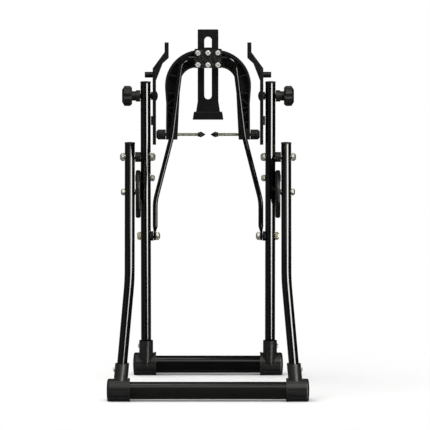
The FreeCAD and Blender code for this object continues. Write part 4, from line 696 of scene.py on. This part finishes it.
class STAND_OT_fold_discs(bpy.types.Operator):
    """Mould the fold discs with a ring sunk in each face"""

    bl_idname = "stand.fold_discs"
    bl_label = "Fold Discs"

    rim_radius = 26.2 * MM
    rim_groove = 1.3 * MM
    rim_depth = 0.7 * MM
    rim_facets = 96

    def execute(self, context):
        edges = context.scene.stand_edges
        for side in SIDES:
            node = f"{side}_fold_disc"
            low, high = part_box(node)
            centre = middle_of(node)
            cutters = []
            for face_x in (low.x, high.x):
                inner = self.rim_radius - self.rim_groove
                start = face_x - self.rim_depth
                end = face_x + self.rim_depth
                profile = ((start, inner), (end, inner), (end, self.rim_radius), (start, self.rim_radius))
                mesh = turned_mesh("rim_groove", profile, centre, self.rim_facets)
                cutters.append(new_object("rim_groove", mesh))
            dress(node, "moulded_nylon", edges.machined, cutters=cutters)
        return {"FINISHED"}


class STAND_OT_hardware(bpy.types.Operator):
    """Plate the nuts, bolts, screws and washers, and press the nylon rings into the locknuts"""

    bl_idname = "stand.hardware"
    bl_label = "Nuts and Bolts"

    insert_bore = 3.1 * MM
    insert_radius = 4.0 * MM
    insert_crown = 0.25 * MM
    insert_depth = 1.0 * MM
    insert_facets = 48

    def execute(self, context):
        edges = context.scene.stand_edges
        for node in ("short_clamp_screws", "long_clamp_screws", "strip_nuts"):
            dress(node, "bright_zinc", edges.machined)
        domed = ("pivot_nuts", "disc_nuts", "guide_bolts", "arm_bolts", "left_pivot_bolt", "right_pivot_bolt")
        for node in domed:
            dress(node, "bright_nickel", edges.machined)
        dress("disc_bolts", "black_oxide", edges.machined)
        dress("arm_locknuts", "yellow_zinc", edges.machined)
        for node in ("arm_washers", "guide_washers"):
            dress(node, "black_oxide", edges.machined)
        self.press_inserts()
        return {"FINISHED"}

    def press_inserts(self):
        """A nylon ring in the open end of each locknut, round the bolt's thread."""
        low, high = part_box("arm_locknuts")
        centre = (low + high) / 2
        for side, sign in SIDES.items():
            end = (high.x if sign > 0 else low.x) - sign * self.insert_crown
            middle = (self.insert_bore + self.insert_radius) / 2
            inside = end - sign * self.insert_depth
            profile = ((inside, self.insert_bore), (end, self.insert_bore),
                       (end + sign * self.insert_crown, middle), (end, self.insert_radius),
                       (inside, self.insert_radius))
            mesh = turned_mesh(f"{side}_locknut_insert", profile, centre, self.insert_facets)
            new_piece(f"{side}_locknut_insert", mesh, "rear_frame", "natural_nylon")


class STAND_OT_arch(bpy.types.Operator):
    """Mould the ribbed arch, and finish its clamp plate and rear strip"""

    bl_idname = "stand.arch"
    bl_label = "Caliper Arch"

    def execute(self, context):
        edges = context.scene.stand_edges
        dress("caliper_arch", "moulded_nylon", edges.pressed)
        dress("clamp_plate", "textured_powder_coat", edges.pressed, 3)
        dress("rear_strip", "satin_e_coat", edges.machined, edge="worn_edge")
        return {"FINISHED"}


class STAND_OT_indicator(bpy.types.Operator):
    """Finish the slotted indicator plate"""

    bl_idname = "stand.indicator"
    bl_label = "Indicator"

    def execute(self, context):
        dress("indicator_plate", "satin_e_coat", context.scene.stand_edges.pressed, edge="worn_edge")
        return {"FINISHED"}


class STAND_OT_feelers(bpy.types.Operator):
    """Cut the feelers' threads, and finish their knobs and tips"""

    bl_idname = "stand.feelers"
    bl_label = "Feelers"

    around = 36
    steps_a_pitch = 8
    starts = 2
    run_out_pitches = 2
    # Below 1 it narrows the crests
    flank_power = 0.8

    def execute(self, context):
        edges = context.scene.stand_edges
        for side, sign in SIDES.items():
            dress(f"{side}_feeler_knob", "moulded_nylon", edges.pressed)
            dress(f"{side}_feeler_tip", "dipped_vinyl", edges.machined)
            self.cut_thread(side, sign, edges)
        return {"FINISHED"}

    def cut_thread(self, side, sign, edges):
        """The rod as one two start thread, as deep as its crests are high, with plain tapered ends."""
        node = f"{side}_feeler_rod"
        low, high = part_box(node)
        centre = (low + high) / 2
        radius = (high.z - low.z) / 2
        step = edges.thread_pitch / self.steps_a_pitch
        rings = int((high.x - low.x) / step)
        lead = edges.thread_pitch * self.starts
        run_out = self.run_out_pitches * edges.thread_pitch
        points = []
        for ring in range(rings + 1):
            x = low.x + (high.x - low.x) * ring / rings
            fade = min(1.0, (x - low.x) / run_out, (high.x - x) / run_out)
            for turn in range(self.around):
                angle = math.tau * turn / self.around
                wave = 0.5 + 0.5 * math.cos(self.starts * (angle - sign * math.tau * x / lead))
                sunk = fade * (1 - wave) ** self.flank_power + (1 - fade)
                reach = radius - edges.thread_depth * sunk
                points.append((x, centre.y + reach * math.cos(angle), centre.z + reach * math.sin(angle)))
        faces = []
        for ring in range(rings):
            for turn in range(self.around):
                here = ring * self.around + turn
                beside = ring * self.around + (turn + 1) % self.around
                faces.append((here, here + self.around, beside + self.around, beside))
        faces.append(tuple(range(self.around)))
        faces.append(tuple(rings * self.around + turn for turn in reversed(range(self.around))))
        mesh = bpy.data.meshes.new(f"{side}_feeler_thread")
        mesh.from_pydata(points, [], faces)
        mesh.shade_smooth()
        piece = new_piece(f"{side}_feeler_thread", mesh, BODY_OF[node], "plain_steel")
        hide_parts(node)


class STAND_OT_dropouts(bpy.types.Operator):
    """Finish the stepped dropout plates, their pins, pads, bolts and washers"""

    bl_idname = "stand.dropouts"
    bl_label = "Dropouts"

    def execute(self, context):
        edges = context.scene.stand_edges
        for side in SIDES:
            dress(f"{side}_dropout_plate", "satin_e_coat", edges.pressed, 3, "worn_edge")
            dress(f"{side}_stop_pin", "satin_e_coat", edges.machined)
            dress(f"{side}_dropout_pad", "black_rubber", edges.machined)
            dress(f"{side}_clamp_bolt", "black_oxide", edges.machined)
            dress(f"{side}_clamp_washer", "black_oxide", edges.machined)
        return {"FINISHED"}


class STAND_OT_clamp_knobs(bpy.types.Operator):
    """Mould the lobed clamp knobs"""

    bl_idname = "stand.clamp_knobs"
    bl_label = "Clamp Knobs"

    def execute(self, context):
        for side in SIDES:
            dress(f"{side}_clamp_knob", "phenolic", context.scene.stand_edges.knob, 3)
        return {"FINISHED"}


class STAND_OT_stage(bpy.types.Operator):
    """Set up the pale floor, the soft light, the reflected cards and the camera"""

    bl_idname = "stand.stage"
    bl_label = "Studio"

    # Cards seen in reflections alone: from and to in degrees to the right of the camera, from and to in
    # degrees above the horizon, and brightness as a share of the strip's
    card_shares = (
        (24.0, 61.0, 38.5, 51.0, 1.0),
        (29.0, 64.0, -54.0, -38.0, 1.0),
        (36.0, 62.0, -24.0, 12.0, 0.55),
        (-80.0, -42.0, -62.0, 62.0, 0.008),
        (0.0, 360.0, 79.0, 87.0, 0.14),
        (-14.0, 14.0, 48.0, 72.0, 0.07),
    )
    # The same cards hang behind the stand at this share, for views from the back
    behind_share = 0.02
    card_radius = 2.0
    card_facet = 5.0
    # The tent is the dark room behind the cards
    tent_radius = 3.0
    tent_edge = 89.0
    floor_radius = 2.4
    # From the first radius to the second the floor fades into the white background, from the least share on
    fade_radii = (0.16, 0.46)
    least_fade = 0.05
    # The point in the middle of the picture
    image_target = Vector((0.0088, 0.0, 0.2190))
    key_size = (1.3, 0.7)
    key_place = Vector((-0.25, -0.35, 1.35))
    key_target = Vector((0.0, 0.0, 0.2))
    sensor_millimetres = 36.0

    def execute(self, context):
        stage = context.scene.stand_stage
        self.set_world(context.scene, stage)
        self.lay_floor(stage)
        for start, end, low, high, share in self.card_shares:
            for behind, part in ((0.0, 1.0), (180.0, self.behind_share)):
                level = share * part * stage.strip_level
                self.hang_card(start + behind, end + behind, low, high, level, self.card_radius)
        self.hang_card(0.0, 360.0, -self.tent_edge, self.tent_edge, stage.tent_level, self.tent_radius)
        self.hang_lamp(stage)
        self.set_camera(context.scene, stage)
        context.scene.view_settings.view_transform = "Standard"
        return {"FINISHED"}

    def seen_directly(self, tree):
        """1 for camera, glossy and transmission rays, so that metal shows the same white as the camera."""
        path = add_node(tree, "ShaderNodeLightPath")
        either = add_node(tree, "ShaderNodeMath", {"operation": "MAXIMUM"},
                          links={0: path.outputs["Is Camera Ray"], 1: path.outputs["Is Glossy Ray"]})
        return add_node(tree, "ShaderNodeMath", {"operation": "MAXIMUM"},
                        links={0: either.outputs["Value"], 1: path.outputs["Is Transmission Ray"]})

    def set_world(self, scene, stage):
        world = bpy.data.worlds.new("studio")
        scene.world = world
        world.use_nodes = True
        tree = world.node_tree
        tree.nodes.clear()
        seen = self.seen_directly(tree)
        fill = add_node(tree, "ShaderNodeBackground",
                        values={"Color": linear("#fbfcff"), "Strength": stage.fill_level})
        white = add_node(tree, "ShaderNodeBackground", values={"Color": linear("#ffffff"), "Strength": 1.0})
        mix = add_node(tree, "ShaderNodeMixShader",
                       links={0: seen.outputs["Value"], 1: fill.outputs["Background"],
                              2: white.outputs["Background"]})
        add_node(tree, "ShaderNodeOutputWorld", links={"Surface": mix.outputs["Shader"]})

    def lay_floor(self, stage):
        """A round floor whose far part fades into the white background and whose middle keeps the shadow."""
        mesh = bpy.data.meshes.new("floor")
        solid = bmesh.new()
        bmesh.ops.create_circle(solid, cap_ends=True, segments=96, radius=self.floor_radius)
        solid.to_mesh(mesh)
        solid.free()
        floor = new_object("floor", mesh)
        floor.location.z = CAD_BOX[0].z
        floor.visible_glossy = False
        material, tree, place, output = start_material("studio_floor")
        matt = add_node(tree, "ShaderNodeBsdfDiffuse", values={"Color": (*stage.floor_colour, 1.0)})
        white = add_node(tree, "ShaderNodeEmission", values={"Color": linear("#ffffff"), "Strength": 1.0})
        distance = add_node(tree, "ShaderNodeVectorMath", {"operation": "LENGTH"}, links={0: place})
        fade = add_node(tree, "ShaderNodeMapRange", {"interpolation_type": "SMOOTHSTEP"},
                        values={"From Min": self.fade_radii[0], "From Max": self.fade_radii[1],
                                "To Min": self.least_fade, "To Max": 1.0},
                        links={"Value": distance.outputs["Value"]})
        seen = self.seen_directly(tree)
        share = add_node(tree, "ShaderNodeMath", {"operation": "MULTIPLY"},
                         links={0: fade.outputs["Result"], 1: seen.outputs["Value"]})
        mix = add_node(tree, "ShaderNodeMixShader",
                       links={0: share.outputs["Value"], 1: matt.outputs["BSDF"],
                              2: white.outputs["Emission"]})
        tree.links.new(mix.outputs["Shader"], output.inputs["Surface"])
        mesh.materials.append(material)

    def hang_card(self, start, end, low, high, level, radius):
        """A card that is part of a sphere round the stand and that only reflections see."""
        across = max(2, round((end - start) / self.card_facet))
        up = max(2, round((high - low) / self.card_facet))
        points = []
        for row in range(up + 1):
            rise = math.radians(low + (high - low) * row / up)
            level_reach = radius * math.cos(rise)
            for step in range(across + 1):
                turn = math.radians(start + (end - start) * step / across)
                points.append((level_reach * math.sin(turn), -level_reach * math.cos(turn),
                               radius * math.sin(rise)))
        faces = []
        for row in range(up):
            for step in range(across):
                here = row * (across + 1) + step
                faces.append((here, here + 1, here + across + 2, here + across + 1))
        mesh = bpy.data.meshes.new("card")
        mesh.from_pydata(points, [], faces)
        card = new_object("card", mesh)
        card.visible_camera = False
        card.visible_diffuse = False
        card.visible_shadow = False
        card.visible_transmission = False
        card.visible_volume_scatter = False
        material, tree, _, output = start_material("card")
        glow = add_node(tree, "ShaderNodeEmission", values={"Color": linear("#fbfcf4"), "Strength": level})
        tree.links.new(glow.outputs["Emission"], output.inputs["Surface"])
        mesh.materials.append(material)

    def hang_lamp(self, stage):
        """One large soft lamp above and a little in front, whose reflection the cards stand for."""
        data = bpy.data.lights.new("key", "AREA")
        data.shape = "RECTANGLE"
        data.size, data.size_y = self.key_size
        data.energy = stage.lamp_power
        lamp = new_object("key", data)
        lamp.visible_glossy = False
        lamp.location = self.key_place
        aim = self.key_target - self.key_place
        lamp.rotation_euler = aim.to_track_quat("-Z", "Y").to_euler()

    def set_camera(self, scene, stage):
        data = bpy.data.cameras.new("camera")
        data.sensor_width = self.sensor_millimetres
        data.lens = data.sensor_width * stage.distance / stage.frame_width
        data.clip_end = 3 * stage.distance
        camera = new_object("camera", data)
        back = Vector((0.0, -math.cos(stage.elevation), math.sin(stage.elevation)))
        camera.location = self.image_target + back * stage.distance
        camera.rotation_euler = Euler((math.radians(90.0) - stage.elevation, 0.0, 0.0))
        scene.camera = camera


OPERATORS = (
    STAND_OT_tubes, STAND_OT_connectors, STAND_OT_caps, STAND_OT_fold_discs, STAND_OT_hardware, STAND_OT_arch,
    STAND_OT_indicator, STAND_OT_feelers, STAND_OT_dropouts, STAND_OT_clamp_knobs, STAND_OT_stage,
)


class STAND_PT_finish(bpy.types.Panel):
    """Lists the steps that finish the stand, with their sizes and colours"""

    bl_idname = "STAND_PT_finish"
    bl_label = "Truing Stand"
    bl_space_type = "VIEW_3D"
    bl_region_type = "UI"
    bl_category = "Stand"

    def draw(self, context):
        layout = self.layout
        for operator in OPERATORS:
            layout.operator(operator.bl_idname)
        for group in (context.scene.stand_colours, context.scene.stand_edges, context.scene.stand_stage):
            box = layout.box()
            for word in group.bl_rna.properties.keys():
                if word not in ("rna_type", "name"):
                    box.prop(group, word)


GROUPS = {"stand_colours": StandColours, "stand_edges": StandEdges, "stand_stage": StandStage}


def register():
    for group in GROUPS.values():
        bpy.utils.register_class(group)
    for word, group in GROUPS.items():
        setattr(bpy.types.Scene, word, bpy.props.PointerProperty(type=group))
    for operator in OPERATORS:
        bpy.utils.register_class(operator)
    bpy.utils.register_class(STAND_PT_finish)


def unregister():
    bpy.utils.unregister_class(STAND_PT_finish)
    for operator in reversed(OPERATORS):
        bpy.utils.unregister_class(operator)
    for word in GROUPS:
        delattr(bpy.types.Scene, word)
    for group in reversed(GROUPS.values()):
        bpy.utils.unregister_class(group)


def main():
    register()
    for operator in OPERATORS:
        group, word = operator.bl_idname.split(".")
        getattr(getattr(bpy.ops, group), word)()


if __name__ == "__main__":
    main()
